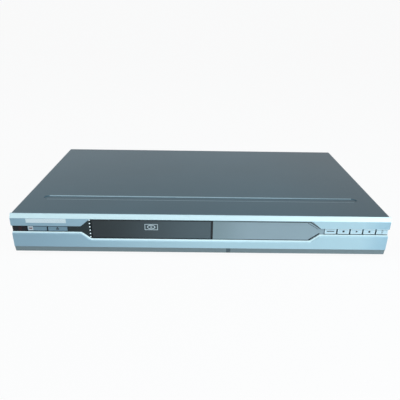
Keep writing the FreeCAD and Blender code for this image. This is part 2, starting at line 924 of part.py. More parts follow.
def post_points(board):
    """Where a board is screwed to the posts of the pan."""
    left, right, front, last = BOARDS[board]
    return [(x, y) for x in (f"({left} + post_inset)", f"({right} - post_inset)")
            for y in (f"({front} + post_inset)", f"({last} - post_inset)")]


# Each board's left, right and front edge, and what its back posts stand in front of
BOARDS = {
    "main_board": ("main_left", "main_right", "main_front", f"({PAN_REAR} - tuner_length)"),
    "power_board": ("power_board_left", "power_board_right", "power_board_front", BOARD_REAR),
}


def foot_points():
    return [(f"{side} * ({HALF} - foot_inset)", y) for side in ("-1", "1")
            for y in (f"{FRONT} + foot_inset", f"{REAR} - foot_inset")]


def leg_points():
    inset = "(leg_size / 2)"
    return [(f"({MID} + {side} * (frame_half - {inset}))", y) for side in ("-1", "1")
            for y in (f"({FRAME_Y} + {inset})", f"({FRAME_Y} + frame_length - {inset})")]


def side_screw_points():
    rise = "(foot_height + side_screw_rise)"
    return [(f"({FRONT} + side_screw_front)", rise), (f"({REAR} - side_screw_back)", rise)]


def chassis_pan():
    body = new_body("chassis_pan")
    section = sketch(body, "XZ", PAN_FRONT)
    inner, top = f"({PAN_HALF} - sheet)", "(foot_height + pan_flange)"
    loop(section, [(f"-{PAN_HALF}", "foot_height"), (PAN_HALF, "foot_height"), (PAN_HALF, top),
                   (inner, top), (inner, FLOOR_TOP), (f"-{inner}", FLOOR_TOP),
                   (f"-{inner}", top), (f"-{PAN_HALF}", top)])
    grow(body, section, f"{PAN_REAR} - {PAN_FRONT}")
    for start, rise in ((PAN_FRONT, "front_flange"), (f"{PAN_REAR} - sheet", "back_flange")):
        flange = sketch(body, "XZ", start)
        rectangle(flange, (f"-{PAN_HALF}", PAN_HALF), ("foot_height", f"foot_height + {rise}"))
        grow(body, flange, "sheet")
    posts = sketch(body, "XY", FLOOR_TOP)
    for board in BOARDS:
        for x, y in post_points(board):
            cornered(posts, x, y, "post_radius")
            cornered(posts, x, y, "screw_hole")
    grow(body, posts, "board_rise")
    screws = sketch(body, "YZ", f"-{COVER_HALF}")
    for y, z in side_screw_points():
        cornered(screws, y, z, "screw_hole")
    carve(body, screws, f"2 * {COVER_HALF}")
    back_screws = sketch(body, "XZ", f"{PAN_REAR} - 2 * sheet")
    for x in BACK_SCREWS:
        cornered(back_screws, x, "foot_height + back_flange / 2 + fit_gap", "screw_hole")
    carve(body, back_screws, "3 * sheet")
    floor = sketch(body, "XY", "foot_height")
    for x, y in foot_points():
        cornered(floor, x, y, "foot_peg + shaft_gap", 4)
    for x, y in leg_points():
        cornered(floor, x, y, "screw_hole")
    carve(body, floor, "sheet")
    vent = sketch(body, "XY", "foot_height")
    middle = "(power_board_front + can_inset)"
    rectangle(vent, ("floor_vent_left", "floor_vent_right"),
              (f"{middle} - vent_width / 2", f"{middle} + vent_width / 2"))
    one = carve(body, vent, "sheet")
    row_of(body, one, vent, "vent_pitch", "vent_count", "V_Axis")


BACK_SCREWS = (f"-({HALF} - 2 * post_inset)", "fan_at + fan_size", f"{HALF} - 2 * post_inset")


def rca_points():
    """The round sound and picture sockets, as X and height, block by block."""
    low, high = f"({BOARD_TOP} + rca_rise)", f"({BOARD_TOP} + rca_rise + rca_row)"
    sound = [(f"(sound_left + {i} * rca_pitch)", z) for i in range(count("sound_columns"))
             for z in (low, high)]
    picture = [(f"(picture_left + {i} * rca_pitch)", low) for i in range(count("picture_columns"))]
    return {"sound": sound, "picture": picture, "digital": [("digital_at", low)]}


def aerial_points():
    middle = "(tuner_left + tuner_width / 2)"
    return [(f"({middle} + {side} * aerial_pitch / 2)", f"({BOARD_TOP} + aerial_rise)")
            for side in ("-1", "1")]


def video_points():
    return [("video_at", f"({BOARD_TOP} + rca_rise)"), ("video_at", f"({BOARD_TOP} + rca_rise + rca_row)")]


LIGHT = ("digital_at", f"({BOARD_TOP} + rca_rise + rca_row)")
INLET = ("inlet_at", f"({BOARD_TOP} + inlet_rise)")
FAN_Z = f"(({FLOOR_TOP} + {COVER_UNDER}) / 2)"


def rear_panel():
    body = new_body("rear_panel")
    plate = sketch(body, "XZ", PAN_REAR)
    rectangle(plate, (f"-{PAN_HALF}", PAN_HALF), ("foot_height", f"{COVER_UNDER} - fit_gap"))
    grow(body, plate, "sheet")
    holes = sketch(body, "XZ", PAN_REAR)
    for points in [*rca_points().values(), aerial_points()]:
        (left, right), (low, high) = nose_edges(points)
        rectangle(holes, (f"{left} - fit_gap", f"{right} + fit_gap"),
                  (f"{low} - fit_gap", f"{high} + fit_gap"))
    for x, z in video_points():
        centred(holes, x, z, "video_nose + 2 * fit_gap", "video_nose + 2 * fit_gap")
    centred(holes, *LIGHT, "light_size + 2 * fit_gap", "light_size + 2 * fit_gap")
    centred(holes, *INLET, "2 * (inlet_half + fit_gap)", "2 * (inlet_tall + fit_gap)")
    for x in BACK_SCREWS:
        cornered(holes, x, "foot_height + back_flange / 2 + fit_gap", "screw_hole")
        cornered(holes, x, f"{COVER_TOP} - rear_lip / 2", "screw_hole")
    carve(body, holes, "sheet")
    grille = sketch(body, "XZ", PAN_REAR, ("fan_at", FAN_Z))
    rectangle(grille, ("grille_inner", "grille_outer"), ("-grille_width / 2", "grille_width / 2"))
    one = carve(body, grille, "sheet")
    circle_of(body, [one], grille, "grille_slots")


def top_cover():
    body = new_body("top_cover")
    section = sketch(body, "XZ", f"{FRONT} + rim_depth + fit_gap")
    inner, low = f"({COVER_HALF} - cover_sheet)", "(foot_height + fit_gap)"
    loop(section, [(f"-{COVER_HALF}", low), (f"-{inner}", low), (f"-{inner}", COVER_UNDER),
                   (inner, COVER_UNDER), (inner, low), (COVER_HALF, low),
                   (COVER_HALF, COVER_TOP), (f"-{COVER_HALF}", COVER_TOP)])
    grow(body, section, f"{REAR} + fit_gap - ({FRONT} + rim_depth + fit_gap)")
    top, under = number(COVER_TOP), number(COVER_UNDER)
    lengthwise = Vector(0, 1, 0)
    soften(body, lambda edge: runs_along(edge, lengthwise) and near(edge.BoundBox.ZMax, top), "bend")
    soften(body, lambda edge: runs_along(edge, lengthwise) and near(edge.BoundBox.ZMax, under)
           and near(abs(edge.BoundBox.XMax), number(inner)), "bend - cover_sheet")
    lip = sketch(body, "XZ", f"{REAR} + fit_gap")
    rectangle(lip, (f"-({COVER_HALF} - bend)", f"{COVER_HALF} - bend"),
              (f"{COVER_TOP} - rear_lip", COVER_TOP))
    grow(body, lip, "cover_sheet")
    middle = f"({FRONT} + bead_back)"
    under_bead = sketch(body, "XY", COVER_UNDER)
    round_end = "(bead_half - bead_width / 2)"
    slot_hole(under_bead, f"-{round_end}", round_end, middle, "(bead_width / 2 + cover_sheet / 2)")
    grow(body, under_bead, "bead_depth", back=True)
    bead = sketch(body, "XY", COVER_TOP)
    slot_hole(bead, f"-{round_end}", round_end, middle, "(bead_width / 2)")
    carve(body, bead, "bead_depth", back=True, draft="-bead_draft")
    screws = sketch(body, "YZ", f"-{COVER_HALF}")
    for y, z in side_screw_points():
        cornered(screws, y, z, "screw_hole")
    carve(body, screws, f"2 * {COVER_HALF}")
    back_screws = sketch(body, "XZ", REAR)
    for x in BACK_SCREWS:
        cornered(back_screws, x, f"{COVER_TOP} - rear_lip / 2", "screw_hole")
    carve(body, back_screws, "2 * cover_sheet")
    vent = sketch(body, "YZ", f"-{COVER_HALF}")
    height = f"({COVER_TOP} - rear_lip - vent_length / 2)"
    centred(vent, f"{FRONT} + case_depth / 2", height, "vent_width", "vent_length")
    one = carve(body, vent, "cover_sheet")
    row_of(body, one, vent, "vent_pitch", "vent_count", "H_Axis")


def feet():
    moulded, pads = [], []
    for i, (x, y) in enumerate(foot_points()):
        ring_base = cone(f"foot_{i}", "z", x, y, "pad_proud", "foot_radius - pad_proud", "foot_radius",
                         "foot_height - pad_proud")
        peg = prism(f"foot_peg_{i}", "z", x, y, "foot_height", "foot_peg", "2 * sheet", 4)
        pocket = rod(f"foot_pocket_{i}", "z", x, y, "0", "pad_radius + fit_gap", "pad_rise")
        moulded.append(less(f"foot_cut_{i}", fused(f"foot_whole_{i}", [ring_base, peg]), [pocket]))
        pads.append(prism(f"foot_pad_{i}", "z", x, y, "0", "pad_radius", "pad_rise", MANY))
    keep(grouped("foot_group", moulded), "feet")
    keep(grouped("pad_group", pads), "foot_pads")


def screw(name, axis, x, y, z, head_first):
    """A pan head screw whose head starts at the point and lies on the side that head_first says."""
    spot = {"x": x, "y": y, "z": z}
    head_at, shank_at = dict(spot), dict(spot)
    moved = head_at if head_first else shank_at
    moved[axis] = f"{moved[axis]} - {'head_height' if head_first else 'screw_length'}"
    head = prism(f"{name}_head", axis, *head_at.values(), "screw_head", "head_height", SOME)
    shank = prism(f"{name}_shank", axis, *shank_at.values(), "screw_radius", "screw_length")
    return fused(name, [head, shank])


def fasteners():
    case = []
    for i, (y, z) in enumerate(side_screw_points()):
        case.append(screw(f"left_screw_{i}", "x", f"-{COVER_HALF}", y, z, True))
        case.append(screw(f"right_screw_{i}", "x", COVER_HALF, y, z, False))
    for i, x in enumerate(BACK_SCREWS):
        case.append(screw(f"lip_screw_{i}", "y", x, f"{REAR} + fit_gap + cover_sheet",
                          f"{COVER_TOP} - rear_lip / 2", False))
        case.append(screw(f"back_screw_{i}", "y", x, REAR, "foot_height + back_flange / 2 + fit_gap", False))
    keep(grouped("case_screw_group", case), "case_screws")
    inner = [screw(f"{board}_screw_{i}", "z", x, y, BOARD_TOP, False)
             for board in BOARDS for i, (x, y) in enumerate(post_points(board))]
    inner += [screw(f"key_screw_{i}", "y", x, f"{KEY_BOARD} + board_thick", z, False)
              for i, (x, z) in enumerate(board_points())]
    inner += [screw(f"drive_screw_{i}", "z", x, y, "foot_height", True)
              for i, (x, y) in enumerate(leg_points())]
    keep(grouped("inner_screw_group", inner), "inner_screws")


# The boards and what stands on them
def boards():
    for label, (left, right, front, _) in BOARDS.items():
        body = new_body(label)
        outline = sketch(body, "XY", BOARD_LOW)
        rectangle(outline, (left, right), (front, BOARD_REAR))
        for x, y in post_points(label):
            cornered(outline, x, y, "screw_hole")
        grow(body, outline, "board_thick")
    ends = {"key_board": (f"-({PAN_HALF} - key_board_side)", f"{MID} - frame_half - key_board_side"),
            "front_board": (f"{MID} + frame_half + key_board_side", f"{PAN_HALF} - key_board_side")}
    for label, (left, right) in ends.items():
        body = new_body(label)
        outline = sketch(body, "XZ", KEY_BOARD)
        rectangle(outline, (left, right), (f"{LOW} + key_board_low", f"{LOW} + key_board_high"))
        for x, z in board_points():
            if number(left) < number(x) < number(right):
                cornered(outline, x, z, "screw_hole")
        grow(body, outline, "board_thick")


def front_electronics():
    switches = []
    for name, (left, right) in button_edges().items():
        x = f"(({left} + {right}) / 2)"
        base = block(f"{name}_switch", (f"{x} - switch_size / 2", f"{x} + switch_size / 2"),
                     (f"{KEY_BOARD} - switch_body", KEY_BOARD),
                     (f"{BAND_MIDDLE} - switch_size / 2", f"{BAND_MIDDLE} + switch_size / 2"))
        plunger = prism(f"{name}_plunger", "y", x, f"{KEY_BOARD} - switch_body - plunger_length",
                        BAND_MIDDLE, "plunger_radius", "plunger_length")
        switches.append(fused(f"{name}_tact", [base, plunger]))
    keep(grouped("switch_group", switches), "button_switches")
    keep(block("tube", ("view_left - tube_margin", "view_right + tube_margin"),
               (f"{KEY_BOARD} - tube_thick", KEY_BOARD),
               (f"{LOW} + view_low - tube_margin", f"{LOW} + view_high + tube_margin / 2")),
         "display_tube")
    eye_x = "((ir_right - band_end) / 2)"
    eye = block("eye_body", (f"{eye_x} - ir_hole", f"{eye_x} + ir_hole"),
                (f"{KEY_BOARD} - switch_body", KEY_BOARD),
                (f"{BAND_MIDDLE} - ir_hole", f"{BAND_MIDDLE} + ir_hole"))
    lens_radius = "(ir_hole - 2 * fit_gap)"
    lens = prism("eye_lens", "y", eye_x, f"{KEY_BOARD} - switch_body - {lens_radius}", BAND_MIDDLE,
                 lens_radius, lens_radius, MANY)
    keep(fused("eye_whole", [eye, lens]), "ir_receiver")


def main_electronics():
    centre_x, centre_y = "((main_left + main_right) / 2)", "(main_front + chip_pitch)"
    left_x = f"({centre_x} - chip_pitch)"

    def chip(name, x, y, width, depth):
        return block(name, (f"{x} - {width} / 2", f"{x} + {width} / 2"),
                     (f"{y} - {depth} / 2", f"{y} + {depth} / 2"), (BOARD_TOP, f"{BOARD_TOP} + chip_height"))

    chips = [chip("codec", centre_x, centre_y, "codec_size", "codec_size"),
             chip("front_memory", left_x, f"({centre_y} - memory_depth)", "memory_width", "memory_depth"),
             chip("back_memory", left_x, f"({centre_y} + memory_depth)", "memory_width", "memory_depth"),
             chip("encoder", f"({centre_x} + chip_pitch)", centre_y, "encoder_size", "encoder_size"),
             chip("drive_chip", left_x, f"({centre_y} + chip_pitch)", "encoder_size", "encoder_size"),
             chip("sound_chip", centre_x, f"({centre_y} + chip_pitch)", "memory_width", "memory_depth")]
    body = new_body("main_heatsink")
    base_low = f"({BOARD_TOP} + chip_height)"
    base = sketch(body, "XY", base_low)
    centred(base, centre_x, centre_y, "sink_size", "sink_size")
    grow(body, base, "sink_base")
    fin = sketch(body, "XY", f"{base_low} + sink_base")
    left = f"({centre_x} - sink_size / 2)"
    rectangle(fin, (left, f"{left} + fin_thick"),
              (f"{centre_y} - sink_size / 2", f"{centre_y} + sink_size / 2"))
    one = grow(body, fin, "fin_height")
    row_of(body, one, fin, "(sink_size - fin_thick) / (fin_count - 1)", "fin_count")
    cans = [prism(f"can_{i}", "z", "main_right - can_inset", f"main_front + can_inset + {i} * can_pitch",
                  BOARD_TOP, "can_radius", "can_height", MANY) for i in range(count("can_count"))]
    keep(grouped("component_group", chips + cans), "main_components")


def power_electronics():
    bulk = rod("bulk_can", "z", "bulk_at", "bulk_front", BOARD_TOP, "bulk_radius", "bulk_height")
    side = "power_board_right - smooth_radius - post_inset"
    cans = [prism(f"smooth_{i}", "z", side, f"bulk_front + {i} * smooth_pitch", BOARD_TOP,
                  "smooth_radius", "smooth_height", MANY) for i in range(count("smooth_count"))]
    keep(grouped("bulk_group", [bulk] + cans), "power_capacitors")
    x0, x1 = "(core_at - core_width / 2)", "(core_at + core_width / 2)"
    y0, y1 = "(core_front - core_depth / 2)", "(core_front + core_depth / 2)"
    top = f"({BOARD_TOP} + core_height)"
    whole = block("core_block", (x0, x1), (y0, y1), (BOARD_TOP, top))
    window = block("core_window", (f"{x0} + core_leg", f"{x1} - core_leg"),
                   (f"{y0} - fit_gap", f"{y1} + fit_gap"),
                   (f"{BOARD_TOP} + core_leg / 2", f"{top} - core_leg / 2"))
    winding = rod("winding", "z", "core_at", "core_front", f"{BOARD_TOP} + core_leg / 2", "winding_radius",
                  "core_height - core_leg")
    keep(fused("transformer_whole", [less("core", whole, [window]), winding]), "power_transformer")
    body = new_body("power_heatsink")
    front = "(power_board_front + 2.5 * post_inset)"
    left = "(power_board_left + 2 * post_inset)"
    plate = sketch(body, "XY", BOARD_TOP)
    rectangle(plate, (left, f"{left} + cooler_length"), (front, f"{front} + cooler_thick"))
    grow(body, plate, "cooler_height")
    fin = sketch(body, "XY", BOARD_TOP)
    rectangle(fin, (left, f"{left} + cooler_thick"), (f"{front} + cooler_thick", f"{front} + cooler_fin"))
    one = grow(body, fin, "cooler_height")
    row_of(body, one, fin, "(cooler_length - cooler_thick) / (cooler_fins - 1)", "cooler_fins")


def cables():
    """The flat cable from the board behind the front to the main board, and its two sockets."""
    left, right = "cable_at", "(cable_at + cable_width)"
    back = f"({KEY_BOARD} + board_thick)"
    start, high = f"({back} + socket_depth)", f"({FLOOR_TOP} + cable_rise)"
    landing, low = "(main_front + post_inset)", f"({BOARD_TOP} + socket_height)"
    upper = block("upper_socket", (left, right), (back, start),
                  (f"{high} - socket_height / 2", f"{high} + socket_height / 2"))
    lower = block("lower_socket", (left, right), (landing, f"{landing} + socket_depth"), (BOARD_TOP, low))
    keep(grouped("socket_group", [upper, lower]), "cable_sockets")
    body = new_body("front_cable")
    path = sketch(body, "YZ", left)
    half = "(socket_depth / 2)"
    turn = f"({landing} + {half})"
    loop(path, [(start, high), (turn, high), (turn, low), (f"{turn} + cable_thick", low),
                (f"{turn} + cable_thick", f"{high} + cable_thick"), (start, f"{high} + cable_thick")])
    grow(body, path, "cable_width")


def nose_edges(points):
    """The edges, along X and up, of the nose that brings a block's barrels through the rear panel."""
    (left, low), (right, high) = points[0], points[-1]
    return ((f"({left} - nose_margin)", f"({right} + nose_margin)"),
            (f"({low} - nose_margin)", f"({high} + nose_margin)"))


def barrelled(name, house, points, radius, hole):
    """A housing inside the rear panel, with its nose and its barrels."""
    across, upright = nose_edges(points)
    nose_end, outside = f"({REAR} + nose_proud)", f"({REAR} + jack_proud)"
    nose = block(f"{name}_nose", across, (PAN_REAR, nose_end), upright)
    barrels = [rod(f"{name}_barrel_{i}", "y", x, nose_end, z, radius, "jack_proud - nose_proud")
               for i, (x, z) in enumerate(points)]
    bores = [prism(f"{name}_bore_{i}", "y", x, f"{outside} - rca_depth", z, hole, "rca_depth + fit_gap", SOME)
             for i, (x, z) in enumerate(points)]
    return less(f"{name}_cut", fused(f"{name}_whole", [house, nose] + barrels), bores)


def sockets():
    inside = f"({BOARD_REAR} - rca_housing)"
    blocks = []
    for name, points in rca_points().items():
        (left, _), (right, high) = points[0], points[-1]
        house = block(f"{name}_house", (f"{left} - rca_margin", f"{right} + rca_margin"),
                      (inside, PAN_REAR), (BOARD_TOP, f"{high} + rca_margin"))
        blocks.append(barrelled(name, house, points, "rca_radius", "rca_hole"))
    keep(grouped("rca_group", blocks), "rca_sockets")
    can = block("tuner_can", ("tuner_left", "tuner_left + tuner_width"),
                (f"{PAN_REAR} - tuner_length", PAN_REAR), (BOARD_TOP, f"{BOARD_TOP} + tuner_height"))
    keep(barrelled("tuner", can, aerial_points(), "aerial_radius", "aerial_hole"), "tuner_box")
    video = []
    for i, (x, z) in enumerate(video_points()):
        house = block(f"video_house_{i}", (f"{x} - rca_margin", f"{x} + rca_margin"), (inside, PAN_REAR),
                      (BOARD_TOP if i == 0 else f"{z} - rca_margin", f"{z} + rca_margin"))
        nose = block(f"video_nose_{i}", (f"{x} - video_nose / 2", f"{x} + video_nose / 2"),
                     (PAN_REAR, f"{REAR} + socket_proud"), (f"{z} - video_nose / 2", f"{z} + video_nose / 2"))
        pocket = rod(f"video_pocket_{i}", "y", x, f"{REAR} + socket_proud - video_depth", z, "video_socket",
                     "video_depth + fit_gap")
        key = block(f"video_key_{i}", (f"{x} - video_key / 2", f"{x} + video_key / 2"),
                    (f"{REAR} + socket_proud - video_depth - fit_gap", f"{REAR}"),
                    (f"{z} - video_socket", f"{z} - video_socket / 2"))
        bored = less(f"video_cut_{i}", fused(f"video_{i}", [house, nose]), [pocket])
        video.append(fused(f"video_unit_{i}", [bored, key]))
    x, z = LIGHT
    house = block("light_house", (f"{x} - rca_margin", f"{x} + rca_margin"), (inside, PAN_REAR),
                  (f"{z} - rca_margin + fit_gap", f"{z} + rca_margin"))
    nose = block("light_nose", (f"{x} - light_size / 2", f"{x} + light_size / 2"),
                 (PAN_REAR, f"{REAR} + socket_proud"), (f"{z} - light_size / 2", f"{z} + light_size / 2"))
    keep(grouped("small_socket_group", video + [fused("light_whole", [house, nose])]), "small_sockets")


def ac_inlet():
    body = new_body("ac_inlet")
    x, z = INLET
    house = sketch(body, "XZ", f"{PAN_REAR} - inlet_depth")
    rectangle(house, (f"{x} - inlet_half - sheet", f"{x} + inlet_half + sheet"),
              (BOARD_TOP, f"{z} + inlet_tall + sheet"))
    grow(body, house, "inlet_depth")
    nose = sketch(body, "XZ", PAN_REAR)
    centred(nose, x, z, "2 * inlet_half", "2 * inlet_tall")
    grow(body, nose, "sheet + socket_proud")
    pocket = sketch(body, "XZ", f"{REAR} + socket_proud - inlet_pocket")
    slot_hole(pocket, f"{x} - inlet_pitch", f"{x} + inlet_pitch", z, "inlet_radius")
    carve(body, pocket, "inlet_pocket")
    prongs = sketch(body, "XZ", f"{REAR} + socket_proud - inlet_pocket")
    for side in ("-", "+"):
        ring(prongs, f"{x} {side} inlet_pitch", z, "prong_radius")
    grow(body, prongs, "prong_length")


def fan():
    x, back = "fan_at", f"({PAN_REAR} - sheet)"
    front = f"({back} - fan_depth)"
    body = new_body("fan_frame")
    square = sketch(body, "XZ", front)
    centred(square, x, FAN_Z, "fan_size", "fan_size")
    ring(square, x, FAN_Z, "fan_bore")
    grow(body, square, "fan_depth")
    web = sketch(body, "XZ", f"{back} - fan_web")
    ring(web, x, FAN_Z, "fan_hub")
    ring(web, x, FAN_Z, "fan_shaft + shaft_gap")
    grow(body, web, "fan_web")
    strut = sketch(body, "XZ", f"{back} - fan_web", (x, FAN_Z))
    rectangle(strut, ("fan_hub - fan_web / 2", "fan_bore + fan_web / 4"), ("-fan_strut / 2", "fan_strut / 2"))
    one = grow(body, strut, "fan_web")
    circle_of(body, [one], strut, "fan_struts")
    rotor = new_body("fan_rotor")
    place(rotor, x, f"{back} - fan_web - rotor_gap", FAN_Z)
    hub = sketch(rotor, "XZ", "-rotor_length")
    ring(hub, "0", "0", "rotor_hub")
    grow(rotor, hub, "rotor_length")
    shaft = sketch(rotor, "XZ", "0")
    ring(shaft, "0", "0", "fan_shaft")
    grow(rotor, shaft, "rotor_gap + fan_web / 2")
    sections = []
    for at, angle in (("rotor_hub - blade_thick", "blade_root_angle"), ("blade_tip", "blade_tip_angle")):
        section = sketch(rotor, "YZ", at)
        across, along = f"(blade_chord / 2 * cos({angle}))", f"(blade_chord / 2 * sin({angle}))"
        thick_y, thick_z = f"(blade_thick / 2 * cos({angle}))", f"(blade_thick / 2 * sin({angle}))"
        middle = "(-rotor_length / 2)"
        loop(section, [(f"{middle} - {along} - {thick_y}", f"-{across} + {thick_z}"),
                       (f"{middle} + {along} - {thick_y}", f"{across} + {thick_z}"),
                       (f"{middle} + {along} + {thick_y}", f"{across} - {thick_z}"),
                       (f"{middle} - {along} + {thick_y}", f"-{across} - {thick_z}")])
        sections.append(section)
    blade = rotor.newObject("PartDesign::AdditiveLoft", "Blade")
    blade.Profile = sections[0]
    blade.Sections = sections[1:]
    blade.Ruled = True
    document.recompute()
    circle_of(rotor, [blade], hub, "blade_count")


# The disc drive
GEAR_X = f"({MID} + rack_line - gear_module * drive_teeth / 2)"
GEAR_Y = f"({FRONT} + gear_front)"
GEAR_LOW = f"({TRAY_LOW} - 2 * slide_gap - gear_height)"
PINION_ANGLE = "(pinion_step * 360 / drive_teeth)"
CENTRES = "(gear_module * (drive_teeth + pinion_teeth) / 2)"
PINION_X = f"({GEAR_X} + {CENTRES} * cos({PINION_ANGLE}))"
PINION_Y = f"({GEAR_Y} + {CENTRES} * sin({PINION_ANGLE}))"
PULLEY_LOW = f"({DECK_TOP} + slide_gap)"
MOTOR_X = f"({MID} + motor_side)"


def drive_frame():
    body = new_body("drive_frame")
    left, right = f"({MID} - frame_half)", f"({MID} + frame_half)"
    inner_left, inner_right = f"({left} + frame_wall)", f"({right} - frame_wall)"
    back, inner_back = f"({FRAME_Y} + frame_length)", f"({FRAME_Y} + frame_length - frame_wall)"
    inner_front = f"({FRAME_Y} + front_wall)"
    outer = sketch(body, "XY", FRAME_LOW)
    rectangle(outer, (left, right), (FRAME_Y, back))
    grow(body, outer, "frame_height")
    inside = sketch(body, "XY", FRAME_FLOOR)
    rectangle(inside, (inner_left, inner_right), (inner_front, inner_back))
    carve(body, inside, "frame_height")
    mouth = sketch(body, "XZ", FRAME_Y)
    rectangle(mouth, (inner_left, inner_right), (f"{FRAME_LOW} + front_wall_top", f"{FRAME_TOP} + fit_gap"))
    carve(body, mouth, "front_wall")
    rails = sketch(body, "XZ", FRAME_Y)
    rail_top = f"({TRAY_LOW} - slide_gap)"
    for ends in ((inner_left, f"{MID} - ledge_half"), (f"{MID} + ledge_half", inner_right)):
        rectangle(rails, ends, (f"{rail_top} - ledge_thick", rail_top))
    grow(body, rails, "frame_length - frame_wall")
    for start in (inner_front, f"{DISC_Y} - 2 * tab_length", f"{DISC_Y} + bridge_ring + tab_length"):
        tabs = sketch(body, "XZ", start)
        tab_low = f"({TRAY_FLANGE} + slide_gap)"
        for ends in ((inner_left, f"{MID} - ledge_half"), (f"{MID} + ledge_half", inner_right)):
            rectangle(tabs, ends, (tab_low, f"{tab_low} + tab_thick"))
        grow(body, tabs, "tab_length")
    deck = sketch(body, "XY", DECK_LOW)
    rectangle(deck, (inner_left, inner_right), (inner_front, f"{FRONT} + deck_back"))
    grow(body, deck, "deck_thick")
    posts = sketch(body, "XY", DECK_TOP)
    for x, y in ((GEAR_X, GEAR_Y), (PINION_X, PINION_Y)):
        ring(posts, x, y, "gear_post")
    grow(body, posts, f"{TRAY_LOW} - slide_gap - {DECK_TOP}")
    bosses = sketch(body, "XY", FRAME_FLOOR)
    boss = f"({MID} + lift_half + boss_gap)", f"({MID} + lift_half + boss_gap + boss_width)"
    mirror = f"({MID} - lift_half - boss_gap - boss_width)", f"({MID} - lift_half - boss_gap)"
    for ends in (boss, mirror):
        rectangle(bosses, ends, (f"{HINGE_Y} - boss_size / 2", f"{HINGE_Y} + boss_size / 2"))
    grow(body, bosses, f"{HINGE_Z} + boss_size / 2 - {FRAME_FLOOR}")
    bore = sketch(body, "YZ", mirror[0])
    ring(bore, HINGE_Y, HINGE_Z, "pin_radius + shaft_gap")
    carve(body, bore, f"{boss[1]} - {mirror[0]}")
    floor = sketch(body, "XY", FRAME_LOW)
    slot = "floor_slot_half"
    rectangle(floor, (f"{MID} - {slot}", f"{MID} + {slot}"),
              (f"{CAM_BACK} + guide_depth + slide_gap", f"{HINGE_Y} + boss_size"))
    ring(floor, MOTOR_X, PINION_Y, "motor_radius + slide_gap")
    carve(body, floor, "frame_floor")
    shaft = sketch(body, "XY", DECK_LOW)
    ring(shaft, MOTOR_X, PINION_Y, "2 * motor_shaft")
    carve(body, shaft, "deck_thick")
    guides = sketch(body, "XY", FRAME_FLOOR)
    for x in (f"{MID} + cam_left - guide_width", f"{MID} + cam_right - guide_width"):
        rectangle(guides, (x, f"{x} + guide_width"), (CAM_BACK, f"{CAM_BACK} + guide_depth"))
    grow(body, guides, "guide_height")
    legs = sketch(body, "XY", FRAME_LOW)
    for x, y in leg_points():
        centred(legs, x, y, "leg_size", "leg_size")
        cornered(legs, x, y, "screw_hole")
    grow(body, legs, "frame_rise", back=True)
    screws = sketch(body, "XY", FRAME_LOW)
    for x, y in leg_points():
        cornered(screws, x, y, "screw_hole")
    carve(body, screws, "frame_floor")


CAM_FRONT = f"({FRONT} + deck_back + slide_gap)"
CAM_BACK = f"({CAM_FRONT} + cam_thick + slide_gap)"


def tooth_outline(item, teeth):
    """One straight sided tooth, which points along X from the middle of its wheel."""
    radius = f"(gear_module * {teeth} / 2)"
    inside, tip = f"({radius} - dedendum - fit_gap)", f"({radius} + addendum)"
    loop(item, [(inside, f"-{TOOTH_ROOT}"), (tip, f"-{TOOTH_TIP}"), (tip, TOOTH_TIP), (inside, TOOTH_ROOT)])


def toothed(body, teeth, low, height):
    wheel = sketch(body, "XY", low)
    ring(wheel, "0", "0", f"gear_module * {teeth} / 2 - dedendum")
    ring(wheel, "0", "0", "gear_post + shaft_gap")
    grow(body, wheel, height)
    tooth = sketch(body, "XY", low)
    tooth_outline(tooth, teeth)
    one = grow(body, tooth, height)
    circle_of(body, [one], tooth, teeth)


def pulley_section(outer, inner, low, groove):
    """Half of a pulley's section, with a groove for a square belt."""
    middle = f"({low} + pulley_height / 2)"
    bottom = f"({outer} - {groove})"
    return [(inner, low), (outer, low), (outer, f"{middle} - {groove} / 2"),
            (bottom, f"{middle} - {groove} / 2"), (bottom, f"{middle} + {groove} / 2"),
            (outer, f"{middle} + {groove} / 2"), (outer, f"{low} + pulley_height"),
            (inner, f"{low} + pulley_height")]


GROOVE = "(belt_thick + 2 * belt_gap)"


def gears():
    gear = new_body("drive_gear")
    place(gear, GEAR_X, GEAR_Y, GEAR_LOW)
    toothed(gear, "drive_teeth", "0", "gear_height")
    hub = sketch(gear, "XY", "0")
    ring(hub, "0", "0", "2 * gear_post")
    ring(hub, "0", "0", "gear_post + shaft_gap")
    grow(gear, hub, f"{GEAR_LOW} - {PULLEY_LOW}", back=True)
    pinion = new_body("belt_gear")
    pinion.Placement = Placement(Vector(), Rotation(Vector(0, 0, 1), 10))
    place(pinion, PINION_X, PINION_Y, PULLEY_LOW)
    pinion.setExpression("Placement.Rotation.Angle",
                         full(f"360 - 180 / pinion_teeth + {PINION_ANGLE} - 180"))
    spun(pinion, "XZ", pulley_section("pulley_radius", "(gear_post + shaft_gap)", "0", GROOVE))
    toothed(pinion, "pinion_teeth", "pulley_height",
            f"{GEAR_LOW} + gear_height - {PULLEY_LOW} - pulley_height")
    motor_pulley = new_body("motor_pulley")
    place(motor_pulley, MOTOR_X, PINION_Y, PULLEY_LOW)
    spun(motor_pulley, "XZ", pulley_section("(motor_pulley_radius + belt_thick)", "0", "0", GROOVE))
    shaft = sketch(motor_pulley, "XY", "0")
    ring(shaft, "0", "0", "motor_shaft")
    grow(motor_pulley, shaft, "deck_thick + slide_gap + motor_height / 2", back=True)
    motor = new_body("loading_motor")
    can = sketch(motor, "XY", DECK_LOW)
    ring(can, MOTOR_X, PINION_Y, "motor_radius")
    ring(can, MOTOR_X, PINION_Y, "motor_shaft + shaft_gap")
    grow(motor, can, "motor_height", back=True)


